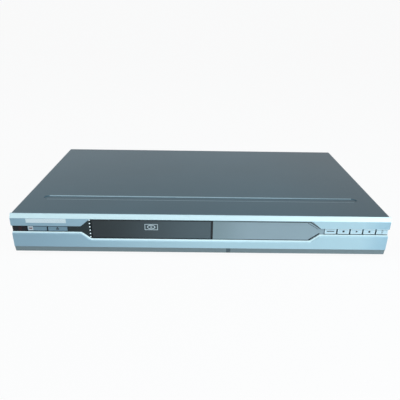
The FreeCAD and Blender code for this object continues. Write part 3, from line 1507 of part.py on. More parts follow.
def drive_belt():
    """A square belt round both pulleys, as two outlines with straight runs."""
    body = new_body("drive_belt")
    big = f"(pulley_radius - {GROOVE} + belt_gap)"
    small = f"(motor_pulley_radius + belt_thick - {GROOVE} + belt_gap)"
    span = f"({PINION_X} - {MOTOR_X})"
    lean = f"asin(({big} - {small}) / {span})"
    body.Placement = Placement()
    place(body, MOTOR_X, PINION_Y, f"{PULLEY_LOW} + (pulley_height - belt_thick) / 2")
    path = sketch(body, "XY", "0")
    for extra in ("belt_thick", "0"):
        near_radius, far_radius = f"({small} + {extra})", f"({big} + {extra})"
        near_x, near_y = f"(-{near_radius} * sin({lean}))", f"({near_radius} * cos({lean}))"
        far_x, far_y = f"({span} - {far_radius} * sin({lean}))", f"({far_radius} * cos({lean}))"
        loop(path, [(near_x, f"-{near_y}"), (far_x, f"-{far_y}"), (far_x, far_y), (near_x, near_y)],
             {1: (span, "0", 1), 3: ("0", "0", 1)})
    grow(body, path, "belt_thick")


def cam_slider():
    body = new_body("cam_slider")
    low = f"({FRAME_FLOOR} + slide_gap)"
    outline = sketch(body, "XZ", CAM_FRONT)
    left, right = f"({MID} + cam_left)", f"({MID} + cam_right)"
    x_low, z_low = stud_at("lift_angle")
    x_high, z_high = f"({x_low} - cam_travel)", stud_at("0")[1]
    shoulder = f"({low} + stud_radius + 4 * stud_gap + cam_thick)"
    top = f"({z_high} + cam_thick)"
    loop(outline, [(left, low), (right, low), (right, shoulder), (f"{x_high} + cam_travel / 2", top),
                   (left, top)])
    grow(body, outline, "cam_thick")
    groove = sketch(body, "XZ", CAM_FRONT)
    rise, run = f"({z_high} - {z_low})", "cam_travel"
    length = f"sqrt({rise} * {rise} + {run} * {run})"
    half = "(stud_radius + stud_gap)"
    off_x, off_z = f"({half} * {rise} / {length})", f"({half} * {run} / {length})"
    loop(groove, [(f"{x_low} - {off_x}", f"{z_low} - {off_z}"), (f"{x_low} + {off_x}", f"{z_low} + {off_z}"),
                  (f"{x_high} + {off_x}", f"{z_high} + {off_z}"),
                  (f"{x_high} - {off_x}", f"{z_high} - {off_z}")],
         {0: (x_low, z_low, 1), 2: (x_high, z_high, 1)})
    carve(body, groove, "cam_thick")


def stud_at(angle):
    """Where the middle of the stud is, seen from the front, with the lift turned down by angle."""
    reach = f"(hinge_back + lift_front + {STUD_MIDDLE})"
    return (f"({MID} + stud_side)",
            f"({HINGE_Z} + stud_rise * cos({angle}) - {reach} * sin({angle}))")


STUD_MIDDLE = f"({HINGE_Y} - hinge_back - lift_front - ({CAM_FRONT} + cam_thick / 2))"


def on_lift(item):
    """Puts a piece, drawn level from the hinge, on the lowered lift."""
    item.Placement = Placement(Vector(), Rotation(Vector(1, 0, 0), number("lift_angle")))
    place(item, MID, HINGE_Y, HINGE_Z)
    item.setExpression("Placement.Rotation.Angle", full("lift_angle"))
    return item


SPINDLE_Y = "(-hinge_back)"
PLATE_LOW = "(lift_thick / 2 + damper_height)"
PLATE_TOP = f"({PLATE_LOW} + plate_thick)"
SLED_Y = f"({SPINDLE_Y} + sled_front)"
RODS_FROM = f"({SPINDLE_Y} + spindle_can + slide_gap)"
RODS_TO = f"({SLED_Y} + sled_length + sled_travel + 4 * slide_gap)"


def lift_frame():
    body = on_lift(new_body("lift_frame"))
    ring_out = sketch(body, "XY", "-lift_thick / 2")
    front, back = f"({SPINDLE_Y} - lift_front)", "lift_bar"
    rectangle(ring_out, ("-lift_half", "lift_half"), (front, back))
    rectangle(ring_out, ("-(lift_half - lift_bar)", "lift_half - lift_bar"),
              (f"{front} + lift_bar", f"{back} - 2 * lift_bar"))
    grow(body, ring_out, "lift_thick")
    pins = sketch(body, "YZ", "-(lift_half + pin_length)")
    ring(pins, "0", "0", "pin_radius")
    grow(body, pins, "pin_length")
    other = sketch(body, "YZ", "lift_half")
    ring(other, "0", "0", "pin_radius")
    grow(body, other, "pin_length")
    lug = sketch(body, "XY", "lift_thick / 2")
    rectangle(lug, ("stud_side - 3 * stud_radius", "stud_side + 3 * stud_radius"),
              (front, f"{front} + lift_bar"))
    grow(body, lug, "stud_rise")
    stud = sketch(body, "XZ", f"{front} - stud_length")
    ring(stud, "stud_side", "stud_rise", "stud_radius")
    grow(body, stud, "stud_length")


def lift_plate():
    body = on_lift(new_body("traverse_plate"))
    plate = sketch(body, "XY", PLATE_LOW)
    rectangle(plate, ("-lift_half", "lift_half"),
              (f"{SPINDLE_Y} - spindle_can - lift_bar / 2", f"{RODS_TO} + lift_bar"))
    rectangle(plate, ("-(sled_half + 2 * slide_gap)", "sled_half + 2 * slide_gap"),
              (f"{SLED_Y} - 2 * slide_gap", f"{RODS_TO} - slide_gap"))
    ring(plate, "0", SPINDLE_Y, "2 * pin_radius")
    grow(body, plate, "plate_thick")
    holders = sketch(body, "XY", PLATE_LOW)
    tab = "(2 * plate_thick)"
    depth = f"({PLATE_LOW} - rod_rise + 2 * rod_radius)"
    for side in ("-1", "1"):
        for start in (f"{RODS_FROM} - {tab}", RODS_TO):
            centred(holders, f"{side} * rod_side", f"{start} + {tab} / 2", "4 * rod_radius", tab)
    grow(body, holders, depth, back=True)
    bearing = sketch(body, "XY", PLATE_LOW)
    centred(bearing, "screw_side", f"{RODS_TO} + {tab} / 2", "4 * rod_radius", tab)
    grow(body, bearing, f"{PLATE_LOW} - screw_rise + 2 * rod_radius", back=True)
    bore = sketch(body, "XZ", f"{RODS_TO} - slide_gap")
    ring(bore, "screw_side", "screw_rise", "rod_radius + shaft_gap")
    carve(body, bore, f"{tab} + 2 * slide_gap")


def lift_pieces():
    spots = [(f"{side} * (lift_half - lift_bar / 2)", y) for side in ("-1", "1")
             for y in (f"{SPINDLE_Y} - spindle_can + damper_radius", f"{RODS_TO} - lift_bar")]
    dampers = [prism(f"damper_{i}", "z", x, y, "lift_thick / 2", "damper_radius", "damper_height", SOME)
               for i, (x, y) in enumerate(spots)]
    keep(on_lift(grouped("damper_group", dampers)), "rubber_dampers")
    motor = on_lift(new_body("spindle_motor"))
    inner, hub = "(spindle_radius + shaft_gap)", "(2 * pin_radius - slide_gap)"
    low = f"({PLATE_LOW} - spindle_height)"
    half = [(inner, low), ("spindle_can", low), ("spindle_can", PLATE_LOW), (hub, PLATE_LOW),
            (hub, f"{PLATE_TOP} + slide_gap"), (inner, f"{PLATE_TOP} + slide_gap")]
    spun(motor, "YZ", half, (SPINDLE_Y, "0"))
    table = on_lift(new_body("turntable"))
    boss_low = f"({PLATE_TOP} + 2 * slide_gap)"
    table_low = "(turntable_rise - turntable_thick)"
    shaft_low = f"({PLATE_LOW} - spindle_height + slide_gap)"
    top = "(turntable_rise + cone_height)"
    half = [("0", shaft_low), ("spindle_radius", shaft_low), ("spindle_radius", boss_low),
            ("3 * spindle_radius", boss_low), ("3 * spindle_radius", table_low),
            ("turntable_radius", table_low), ("turntable_radius", "turntable_rise"),
            ("cone_radius", "turntable_rise"), ("cone_radius - cone_height / 3", top), ("0", top)]
    spun(table, "YZ", half, (SPINDLE_Y, "0"))
    rods = [rod(f"guide_{side}", "y", f"{side} * rod_side", RODS_FROM, "rod_rise", "rod_radius",
                f"{RODS_TO} - {RODS_FROM}") for side in ("-1", "1")]
    keep(on_lift(grouped("guide_group", rods)), "guide_rods")
    lead = rod("lead_rod", "y", "screw_side", f"{RODS_FROM} - rod_radius", "screw_rise", "rod_radius",
               f"{RODS_TO} + rod_radius - {RODS_FROM} + rod_radius")
    collar = rod("lead_collar", "y", "screw_side", f"{RODS_TO} - 4 * slide_gap", "screw_rise",
                 "1.5 * rod_radius", "2 * slide_gap")
    keep(on_lift(fused("lead_whole", [lead, collar])), "lead_screw")
    can_front = f"({RODS_FROM} - slide_gap - 2 * sled_motor_radius)"
    can = rod("sled_motor_can", "y", "screw_side", can_front, "screw_rise", "sled_motor_radius",
              "2 * sled_motor_radius")
    bore = rod("sled_motor_bore", "y", "screw_side", can_front, "screw_rise", "rod_radius + shaft_gap",
               "3 * sled_motor_radius")
    mount = block("sled_motor_mount", ("screw_side - rod_radius", "screw_side + rod_radius"),
                  (can_front, f"{can_front} + 2 * sled_motor_radius"), ("screw_rise", PLATE_LOW))
    keep(on_lift(less("sled_motor_cut", fused("sled_motor_whole", [can, mount]), [bore])), "sled_motor")


def sled():
    body = on_lift(new_body("laser_sled"))
    back = f"({SLED_Y} + sled_length)"
    base = sketch(body, "XY", "-sled_drop")
    rectangle(base, ("-sled_half", "sled_half"), (SLED_Y, back))
    grow(body, base, f"sled_drop + {PLATE_LOW} - 2 * slide_gap")
    arm = sketch(body, "XY", "screw_rise - 2 * rod_radius")
    ends = (f"{SLED_Y} + sled_length / 4", f"{back} - sled_length / 4")
    rectangle(arm, ("sled_half", "screw_side + 2.5 * rod_radius"), ends)
    rectangle(arm, ("-(rod_side + 2 * rod_radius)", "-sled_half"), ends)
    grow(body, arm, f"{PLATE_LOW} - 2 * slide_gap - (screw_rise - 2 * rod_radius)")
    bores = sketch(body, "XZ", SLED_Y)
    ring(bores, "rod_side", "rod_rise", "rod_radius + shaft_gap")
    ring(bores, "-rod_side", "rod_rise", "rod_radius + shaft_gap")
    ring(bores, "screw_side", "screw_rise", "rod_radius + slide_gap")
    carve(body, bores, "sled_length")
    head = sketch(body, "XY", f"{PLATE_LOW} - 2 * slide_gap")
    lens_y = f"({SLED_Y} + lens_front)"
    centred(head, "0", lens_y, "head_width", "head_depth")
    grow(body, head, f"lens_rise - lens_thick - ({PLATE_LOW} - 2 * slide_gap)")
    glass = cone("lens_glass", "z", "0", lens_y, "lens_rise - lens_thick", "lens_radius", "lens_top",
                 "lens_thick")
    keep(on_lift(grouped("lens_group", [glass])), "pickup_lens")


def clamp():
    body = new_body("clamp_bridge")
    beam_low = f"({FLOOR_TOP} + bridge_rise)"
    beam = sketch(body, "XY", beam_low)
    rectangle(beam, (f"{MID} - frame_half", f"{MID} + frame_half"),
              (f"{DISC_Y} - bridge_half", f"{DISC_Y} + bridge_half"))
    grow(body, beam, "bridge_thick")
    round_part = sketch(body, "XY", beam_low)
    ring(round_part, MID, DISC_Y, "bridge_ring")
    grow(body, round_part, "bridge_thick")
    hole = sketch(body, "XY", beam_low)
    ring(hole, MID, DISC_Y, "bridge_hole")
    carve(body, hole, "bridge_thick")
    ends = sketch(body, "XY", FRAME_TOP)
    for side in ("-1", "1"):
        centred(ends, f"{MID} + {side} * (frame_half - frame_wall / 2)", DISC_Y, "frame_wall",
                "2 * bridge_half")
    grow(body, ends, f"{beam_low} - {FRAME_TOP}")
    puck = new_body("clamp_puck")
    low, top = f"({TRAY_TOP} + puck_gap)", f"({beam_low} + bridge_thick + slide_gap)"
    place(puck, MID, DISC_Y, low)
    flange = f"({top} - {low})"
    recess = "(cone_height + 4 * slide_gap)"
    hollow, brim = "(cone_radius + 2 * slide_gap)", "(bridge_hole + 4 * slide_gap)"
    brim_top = f"({flange} + plate_thick)"
    half = [(hollow, "0"), ("puck_radius", "0"), ("puck_radius", flange), (brim, flange),
            (brim, brim_top), ("0", brim_top), ("0", recess), (hollow, recess)]
    spun(puck, "XZ", half)


for build in (front_bezel, band_inlays, tray_front, chassis_pan, rear_panel, top_cover, feet, fasteners,
              boards, front_electronics, main_electronics, power_electronics, cables, sockets, ac_inlet, fan,
              disc_tray, drive_frame, gears, drive_belt, cam_slider, lift_frame, lift_plate, lift_pieces,
              sled, clamp):
    build()
for name, (left, right) in button_edges().items():
    button(name, left, right)

document.recompute()
for item in document.Objects:
    if "Invalid" in item.State or "Error" in item.State:
        raise ValueError(f"{item.Label}: {item.State}")
for name, item in nodes.items():
    if item.Shape.isNull() or not item.Shape.isValid():
        raise ValueError(f"{name}: the shape is not valid")
os.makedirs("parts", exist_ok=True)
for name, item in nodes.items():
    item.Shape.exportStep(f"parts/{name}.step")
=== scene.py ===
"""Finishes and fine details of a slim disc recorder, with a plain studio stage round it."""

import json
import math
from contextlib import contextmanager

import bmesh
import bpy
from bpy.props import FloatProperty, FloatVectorProperty, IntProperty, PointerProperty
from mathutils import Matrix, Vector


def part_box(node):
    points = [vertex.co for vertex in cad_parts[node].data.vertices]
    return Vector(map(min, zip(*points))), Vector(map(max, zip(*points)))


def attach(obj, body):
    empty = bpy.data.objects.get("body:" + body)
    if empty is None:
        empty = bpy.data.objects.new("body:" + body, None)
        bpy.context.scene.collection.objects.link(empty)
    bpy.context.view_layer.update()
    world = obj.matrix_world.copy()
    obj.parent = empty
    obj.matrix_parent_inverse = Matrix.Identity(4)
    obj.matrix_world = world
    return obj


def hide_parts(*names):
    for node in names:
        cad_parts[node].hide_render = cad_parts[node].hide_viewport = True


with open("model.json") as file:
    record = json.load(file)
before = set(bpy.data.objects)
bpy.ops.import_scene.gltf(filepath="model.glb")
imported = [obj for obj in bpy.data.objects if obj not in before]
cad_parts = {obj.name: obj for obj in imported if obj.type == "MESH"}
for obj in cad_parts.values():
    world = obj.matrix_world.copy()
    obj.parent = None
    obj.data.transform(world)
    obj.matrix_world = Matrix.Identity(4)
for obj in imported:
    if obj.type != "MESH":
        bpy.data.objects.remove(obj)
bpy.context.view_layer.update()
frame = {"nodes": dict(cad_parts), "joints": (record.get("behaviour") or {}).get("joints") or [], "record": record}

bl_info = {
    "name": "Disc recorder",
    "version": (1, 0, 0),
    "blender": (4, 5, 0),
    "location": "View3D > Sidebar > Recorder",
    "description": "Dresses the disc recorder's model with its finishes and fine details",
    "category": "Object",
}

MM = 0.001

# How far past a face a painted zone reaches, in mm, so that the whole face is in it.
PAST = 1
# The camera's place in mm, and its turns round Z, X and its own axis in degrees.
CAMERA_PLACE = (-7.05, -544.12, 259.66)
CAMERA_TURNS = (-0.706, 65.908, 0.959)

# The sockets of a mix node that mixes colours.
FACTOR, COLOUR_A, COLOUR_B, COLOUR_OUT = 0, 6, 7, 2


def linear(code):
    """The linear colour that an sRGB hex code stands for."""
    parts = [int(code[i : i + 2], 16) / 255 for i in (1, 3, 5)]
    return [p / 12.92 if p <= 0.04045 else ((p + 0.055) / 1.055) ** 2.4 for p in parts]


def shade(colour, share=1):
    """A linear colour or a hex code, made lighter or darker by a share, with its alpha."""
    parts = linear(colour) if isinstance(colour, str) else colour[:3]
    return (*(min(part * share, 1) for part in parts), 1)


# Sizes and colours that a user may change


def length(name, description, size):
    """A length, given in mm, that a user may change."""
    return FloatProperty(name=name, description=description, default=size * MM, unit="LENGTH", precision=5)


def paint(name, description, code):
    """A colour, given as an sRGB hex code, that a user may change."""
    return FloatVectorProperty(name=name, description=description, subtype="COLOR", default=linear(code))


class RecorderSizes(bpy.types.PropertyGroup):
    """Sizes of the pieces that are added to the model"""

    plate_width: length("Plate width", "Width of the bare name plate", 45)
    plate_height: length("Plate height", "Height of the bare name plate", 5.2)
    plate_rise: length("Plate rise", "How far the name plate stands off the front", 0.25)
    mark_rise: length("Mark rise", "How thick the paint of a printed mark is", 0.06)
    emblem_width: length("Emblem width", "Width of the disc sign on the tray's front", 15)
    # The pips are painted glints: small glowing beads along the trim's edge.
    pip_count: IntProperty(name="Pips", description="How many light pips the end trim has", default=6, min=2)
    pip_radius: length("Pip radius", "Radius of one light pip", 0.7)
    head_radius: length("Screw head", "Radius of a case screw's head", 3)
    head_height: length("Screw head height", "Height of a case screw's head", 1.6)


class RecorderColours(bpy.types.PropertyGroup):
    """Colours of the parts that show from outside"""

    front: paint("Front", "Silver lacquer of the front", "#9fc2d1")
    # The edges colour is a painted highlight on the faces of the front that lean back.
    edges: paint("Edges", "Polished edges of the front that lean back", "#d6f1f6")
    # The foot strip's darker grey is mostly painted shade, as the strip leans in and faces down.
    base: paint("Foot strip", "Darker strip along the front's foot", "#74858a")
    # The two button colours are one lacquer: painted shade on the left buttons and painted light on the right ones.
    keys: paint("Left buttons", "Lacquer of the two left buttons", "#7292a3")
    pale_keys: paint("Right buttons", "Lacquer of the five right buttons", "#c3e2ee")
    door: paint("Tray front", "Smoked plastic of the tray's front", "#222d31")
    window: paint("Display window", "Silvered display window", "#8ea5af")
    cover: paint("Cover", "Baked paint of the cover", "#40606d")


class RecorderStage(bpy.types.PropertyGroup):
    """Lamps and camera"""

    key_power: FloatProperty(name="Key lamp", description="Power of the lamp at the right", default=8, subtype="POWER")
    fill_power: FloatProperty(name="Fill lamp", description="Power of the lamp at the left", default=1, subtype="POWER")
    top_power: FloatProperty(name="Top lamp", description="Power of the lamp overhead", default=9, subtype="POWER")
    sky: FloatProperty(name="Sky", description="Strength of the soft light all round", default=0.25, min=0)
    lens: FloatProperty(name="Lens", description="Focal length in mm", default=37.37, min=1)


# Materials


def add(tree, kind, inputs=(), **settings):
    """Adds a shader node with its settings, sets or links each of its inputs, and returns its outputs."""
    node = tree.nodes.new("ShaderNode" + kind)
    for field, value in settings.items():
        setattr(node, field, value)
    for socket, value in dict(inputs).items():
        if isinstance(value, bpy.types.NodeSocket):
            tree.links.new(value, node.inputs[socket])
        else:
            node.inputs[socket].default_value = value
    return node.outputs


class Finish:
    """One procedural finish: a colour that drifts in patches, and a fine grain that stands in relief.

    Sizes are in mm: grain is the size of the finest texture and relief its height, patch the size of the slow drift
    in colour, and edge the radius to which sharp edges are rounded for the light. drawn stretches the grain along an
    axis, as rolling, grinding or extruding does. spread, speck and gloss are how much the colour drifts, how strong
    the darker specks are and how much the roughness varies. shine is the strength of the clear reflection.
    """

    def __init__(
        self, name, colour, rough, metal=0.0, coat=0.0, grain=0.4, relief=0.01, drawn=(1, 1, 1), patch=30,
        spread=0.07, speck=0.05, gloss=0.08, edge=0.0, shine=0.5,
    ):
        self.made = bpy.data.materials.new(name)
        self.made.use_nodes = True
        self.tree = tree = self.made.node_tree
        self.shader = tree.nodes["Principled BSDF"]
        fixed = {"Metallic": metal, "Coat Weight": coat, "Coat Roughness": 0.12, "Specular IOR Level": shine}
        for socket, value in fixed.items():
            self.shader.inputs[socket].default_value = value
        self.own = add(tree, "TexCoord")
        to_mm = {0: self.own["Object"], 1: (1 / MM,) * 3}
        self.place = add(tree, "VectorMath", to_mm, operation="MULTIPLY")[0]
        shares = [1 / (grain * stretch) for stretch in drawn]
        stretched = add(tree, "VectorMath", {0: self.place, 1: shares}, operation="MULTIPLY")[0]
        fine = add(tree, "TexNoise", {"Vector": stretched, "Scale": 1, "Detail": 3})[0]
        drift = add(tree, "TexNoise", {"Vector": self.place, "Scale": 1 / patch, "Detail": 2})[0]
        tones = {FACTOR: drift, COLOUR_A: shade(colour, 1 - spread), COLOUR_B: shade(colour, 1 + spread)}
        slow = add(tree, "Mix", tones, data_type="RGBA")[COLOUR_OUT]
        amount = add(tree, "MapRange", {"Value": fine, "From Min": 0.35, "From Max": 0.65, "To Max": speck})
        tones = {FACTOR: amount[0], COLOUR_A: slow, COLOUR_B: shade(colour, 0.45)}
        flecked = add(tree, "Mix", tones, data_type="RGBA")
        low, high = max(rough - gloss, 0.02), rough + gloss
        dull = add(tree, "MapRange", {"Value": fine, "To Min": low, "To Max": high})
        heights = {"Height": fine, "Distance": relief * MM, "Strength": 1.0}
        if edge:
            heights["Normal"] = add(tree, "Bevel", {"Radius": edge * MM}, samples=4)[0]
        bump = add(tree, "Bump", heights)
        tree.links.new(flecked[COLOUR_OUT], self.shader.inputs["Base Color"])
        tree.links.new(dull[0], self.shader.inputs["Roughness"])
        tree.links.new(bump[0], self.shader.inputs["Normal"])

    def within(self, axis, low, high):
        """A mask of 1 where the place along an axis lies between two values in mm."""
        parts = add(self.tree, "SeparateXYZ", {0: self.place})
        inputs = {0: parts[axis], 1: (low + high) / 2, 2: (high - low) / 2}
        return add(self.tree, "Math", inputs, operation="COMPARE")[0]

    def ramp(self, axis, start, end, share):
        """A mask that grows from 0 to a share between two places along an axis, in mm."""
        parts = add(self.tree, "SeparateXYZ", {0: self.place})
        inputs = {"Value": parts[axis], "From Min": start, "From Max": end, "To Max": share}
        return add(self.tree, "MapRange", inputs, interpolation_type="SMOOTHSTEP")[0]

    def around(self, axis, centre, radius):
        """A mask of 1 within a radius of a line that runs along an axis through a centre, in mm."""
        flat = [0 if i == "XYZ".index(axis) else 1 for i in range(3)]
        on_plane = add(self.tree, "VectorMath", {0: self.place, 1: flat}, operation="MULTIPLY")[0]
        spot = [c * f for c, f in zip(centre, flat)]
        away = add(self.tree, "VectorMath", {0: on_plane, 1: spot}, operation="DISTANCE")["Value"]
        return add(self.tree, "Math", {0: away, 1: radius}, operation="LESS_THAN")[0]

    def facing(self, direction, least=0.9):
        """A mask of 1 on the surfaces that face nearly along a direction."""
        sides = {0: self.own["Normal"], 1: Vector(direction).normalized()}
        share = add(self.tree, "VectorMath", sides, operation="DOT_PRODUCT")["Value"]
        return add(self.tree, "Math", {0: share, 1: least}, operation="GREATER_THAN")[0]

    def both(self, first, *others):
        """A mask of 1 where all of the masks are."""
        for other in others:
            first = add(self.tree, "Math", {0: first, 1: other}, operation="MULTIPLY")[0]
        return first

    def line(self, points, width):
        """A mask of 1 along a line on the front, through points of X and Z in mm."""
        drawn = None
        for first, last in zip(points, points[1:]):
            origin = Vector((first[0], 0, first[1]))
            step = Vector((last[0], 0, last[1])) - origin
            way = step.normalized()
            flat = add(self.tree, "VectorMath", {0: self.place, 1: (1, 0, 1)}, operation="MULTIPLY")[0]
            gone = add(self.tree, "VectorMath", {0: flat, 1: origin}, operation="SUBTRACT")[0]
            along = add(self.tree, "VectorMath", {0: gone, 1: way}, operation="DOT_PRODUCT")["Value"]
            held = add(self.tree, "Clamp", {"Value": along, "Min": 0, "Max": step.length})[0]
            foot = add(self.tree, "VectorMath", {0: way, "Scale": held}, operation="SCALE")[0]
            away = add(self.tree, "VectorMath", {0: gone, 1: foot}, operation="DISTANCE")["Value"]
            near = add(self.tree, "Math", {0: away, 1: width / 2}, operation="LESS_THAN")[0]
            if drawn:
                near = add(self.tree, "Math", {0: drawn, 1: near}, operation="MAXIMUM")[0]
            drawn = near
        return drawn

    def over(self, mask, colour, rough=None, metal=None):
        """Lays another colour, and another roughness or metal if given, over the finish where the mask is 1."""
        for socket, value in (("Roughness", rough), ("Metallic", metal)):
            if value is None:
                continue
            old = self.shader.inputs[socket]
            under = old.links[0].from_socket if old.links else old.default_value
            mixed = add(self.tree, "Mix", {0: mask, 2: under, 3: value}, data_type="FLOAT")
            self.tree.links.new(mixed[0], old)
        under = self.shader.inputs["Base Color"].links[0].from_socket
        inputs = {FACTOR: mask, COLOUR_A: under, COLOUR_B: shade(colour)}
        mixed = add(self.tree, "Mix", inputs, data_type="RGBA")
        self.tree.links.new(mixed[COLOUR_OUT], self.shader.inputs["Base Color"])

    def give(self, *nodes):
        """Puts the finish on nodes of the model."""
        for name in nodes:
            mesh = frame["nodes"][name].data
            mesh.materials.clear()
            mesh.materials.append(self.made)


def pcb(name, upright):
    """Green solder mask over etched copper, whose tracks show as paler lines with round pads.

    The tracks are 0.22 mm wide and 1.7 mm apart, wider apart than real ones so that they show.
    """
    board = Finish(name, "#1f5a34", 0.35, coat=0.4, grain=0.6, relief=0.003, patch=12)
    parts = add(board.tree, "SeparateXYZ", {0: board.place})
    across = parts["Z" if upright else "Y"]
    flat = add(board.tree, "CombineXYZ", {0: parts["X"], 1: across})[0]
    black, white = (0, 0, 0, 1), (1, 1, 1, 1)
    sizes = {"Scale": 1, "Mortar Size": 0.22, "Brick Width": 9, "Row Height": 1.7}
    bricks = {"Vector": flat, "Color1": black, "Color2": black, "Mortar": white, **sizes}
    tracks = add(board.tree, "TexBrick", bricks, offset=0.37)
    board.over(tracks["Color"], "#3f8a4c")
    cells = add(board.tree, "TexVoronoi", {"Vector": flat, "Scale": 0.28, "Randomness": 0.75})
    inputs = {0: cells["Distance"], 1: 0.17}
    pads = add(board.tree, "Math", inputs, operation="LESS_THAN")[0]
    board.over(pads, "#c8c8c0", rough=0.3, metal=1.0)
    return board


# Modelling


def start(primitive, **place):
    """Adds one primitive with nothing else selected, and returns it."""
    bpy.ops.object.select_all(action="DESELECT")
    primitive(**place)
    return bpy.context.object


def only(piece):
    """Makes a piece the one that is selected and active."""
    bpy.ops.object.select_all(action="DESELECT")
    piece.select_set(True)
    bpy.context.view_layer.objects.active = piece


@contextmanager
def editing():
    """Edit mode for the lines of its block."""
    bpy.ops.object.mode_set(mode="EDIT")
    yield
    bpy.ops.object.mode_set(mode="OBJECT")


def choose(piece, test):
    """In edit mode, selects the faces whose centre and normal pass a test."""
    bpy.ops.mesh.select_mode(type="FACE")
    bpy.ops.mesh.select_all(action="DESELECT")
    shape = bmesh.from_edit_mesh(piece.data)
    for face in shape.faces:
        face.select_set(test(face.calc_center_median(), face.normal))
    bmesh.update_edit_mesh(piece.data)


def modify(piece, kind, **settings):
    """Puts a modifier on a piece and applies it."""
    only(piece)
    made = piece.modifiers.new(kind.title(), kind)
    for field, value in settings.items():
        setattr(made, field, value)
    bpy.ops.object.modifier_apply(modifier=made.name)


def bevel(piece, width, segments=2, angle=30):
    """Rounds the edges of a piece that are sharper than an angle in degrees."""
    modify(piece, "BEVEL", width=width, segments=segments, limit_method="ANGLE", angle_limit=math.radians(angle))


def settle(piece):
    """Writes a piece's place, turn and scale into its mesh."""
    only(piece)
    bpy.ops.object.transform_apply(location=True, rotation=True, scale=True)


def joined(pieces):
    """Joins settled pieces into one."""
    only(pieces[0])
    for piece in pieces[1:]:
        piece.select_set(True)
    bpy.ops.object.join()
    return bpy.context.object


def finished(piece, name, body, finish):
    """Names a piece, gives it its finish, and lets it ride on a body of the model."""
    settle(piece)
    bpy.ops.object.shade_smooth_by_angle(angle=math.radians(35))
    piece.name = piece.data.name = name
    piece.data.materials.clear()
    piece.data.materials.append(finish.made)
    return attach(piece, body)


def copied(piece, name, matrix):
    """A copy of a settled piece with its own mesh, put in place by a matrix."""
    copy = piece.copy()
    copy.data = piece.data.copy()
    copy.data.transform(matrix)
    copy.name = name
    bpy.context.scene.collection.objects.link(copy)
    return copy


def turned_to(direction, place):
    """The matrix that turns +Z to a direction and moves the origin to a place."""
    return Matrix.Translation(place) @ Vector(direction).to_track_quat("Z", "Y").to_matrix().to_4x4()


def printed(sides, width, height, spot, rise, line=0.0, turn=0.0):
    """A thin printed shape that faces the front: a polygon of so many sides, or only its outline of a line's width."""
    shape = start(
        bpy.ops.mesh.primitive_circle_add,
        vertices=sides,
        radius=1,
        fill_type="NGON",
        rotation=(math.pi / 2, turn, 0),
    )
    settle(shape)
    size = shape.dimensions
    shape.scale = (width / size.x, 1, height / size.z)
    settle(shape)
    if line:
        with editing():
            bpy.ops.mesh.select_all(action="SELECT")
            bpy.ops.mesh.inset(thickness=line)
            bpy.ops.mesh.delete(type="FACE")
    modify(shape, "SOLIDIFY", thickness=1.3 * rise, offset=0.54)
    bevel(shape, rise / 3, segments=1, angle=60)
    shape.location = spot
    settle(shape)
    return shape


def clusters(node, reach):
    """The lowest and highest corner of each group of points of a node that lie within a reach of each other."""
    groups = []
    for vertex in frame["nodes"][node].data.vertices:
        for group in groups:
            if (vertex.co - group[0]).length < reach:
                group.append(vertex.co.copy())
                break
        else:
            groups.append([vertex.co.copy()])
    for group in groups:
        yield Vector(map(min, zip(*group))), Vector(map(max, zip(*group)))


# Operators, one for each piece or group of like pieces


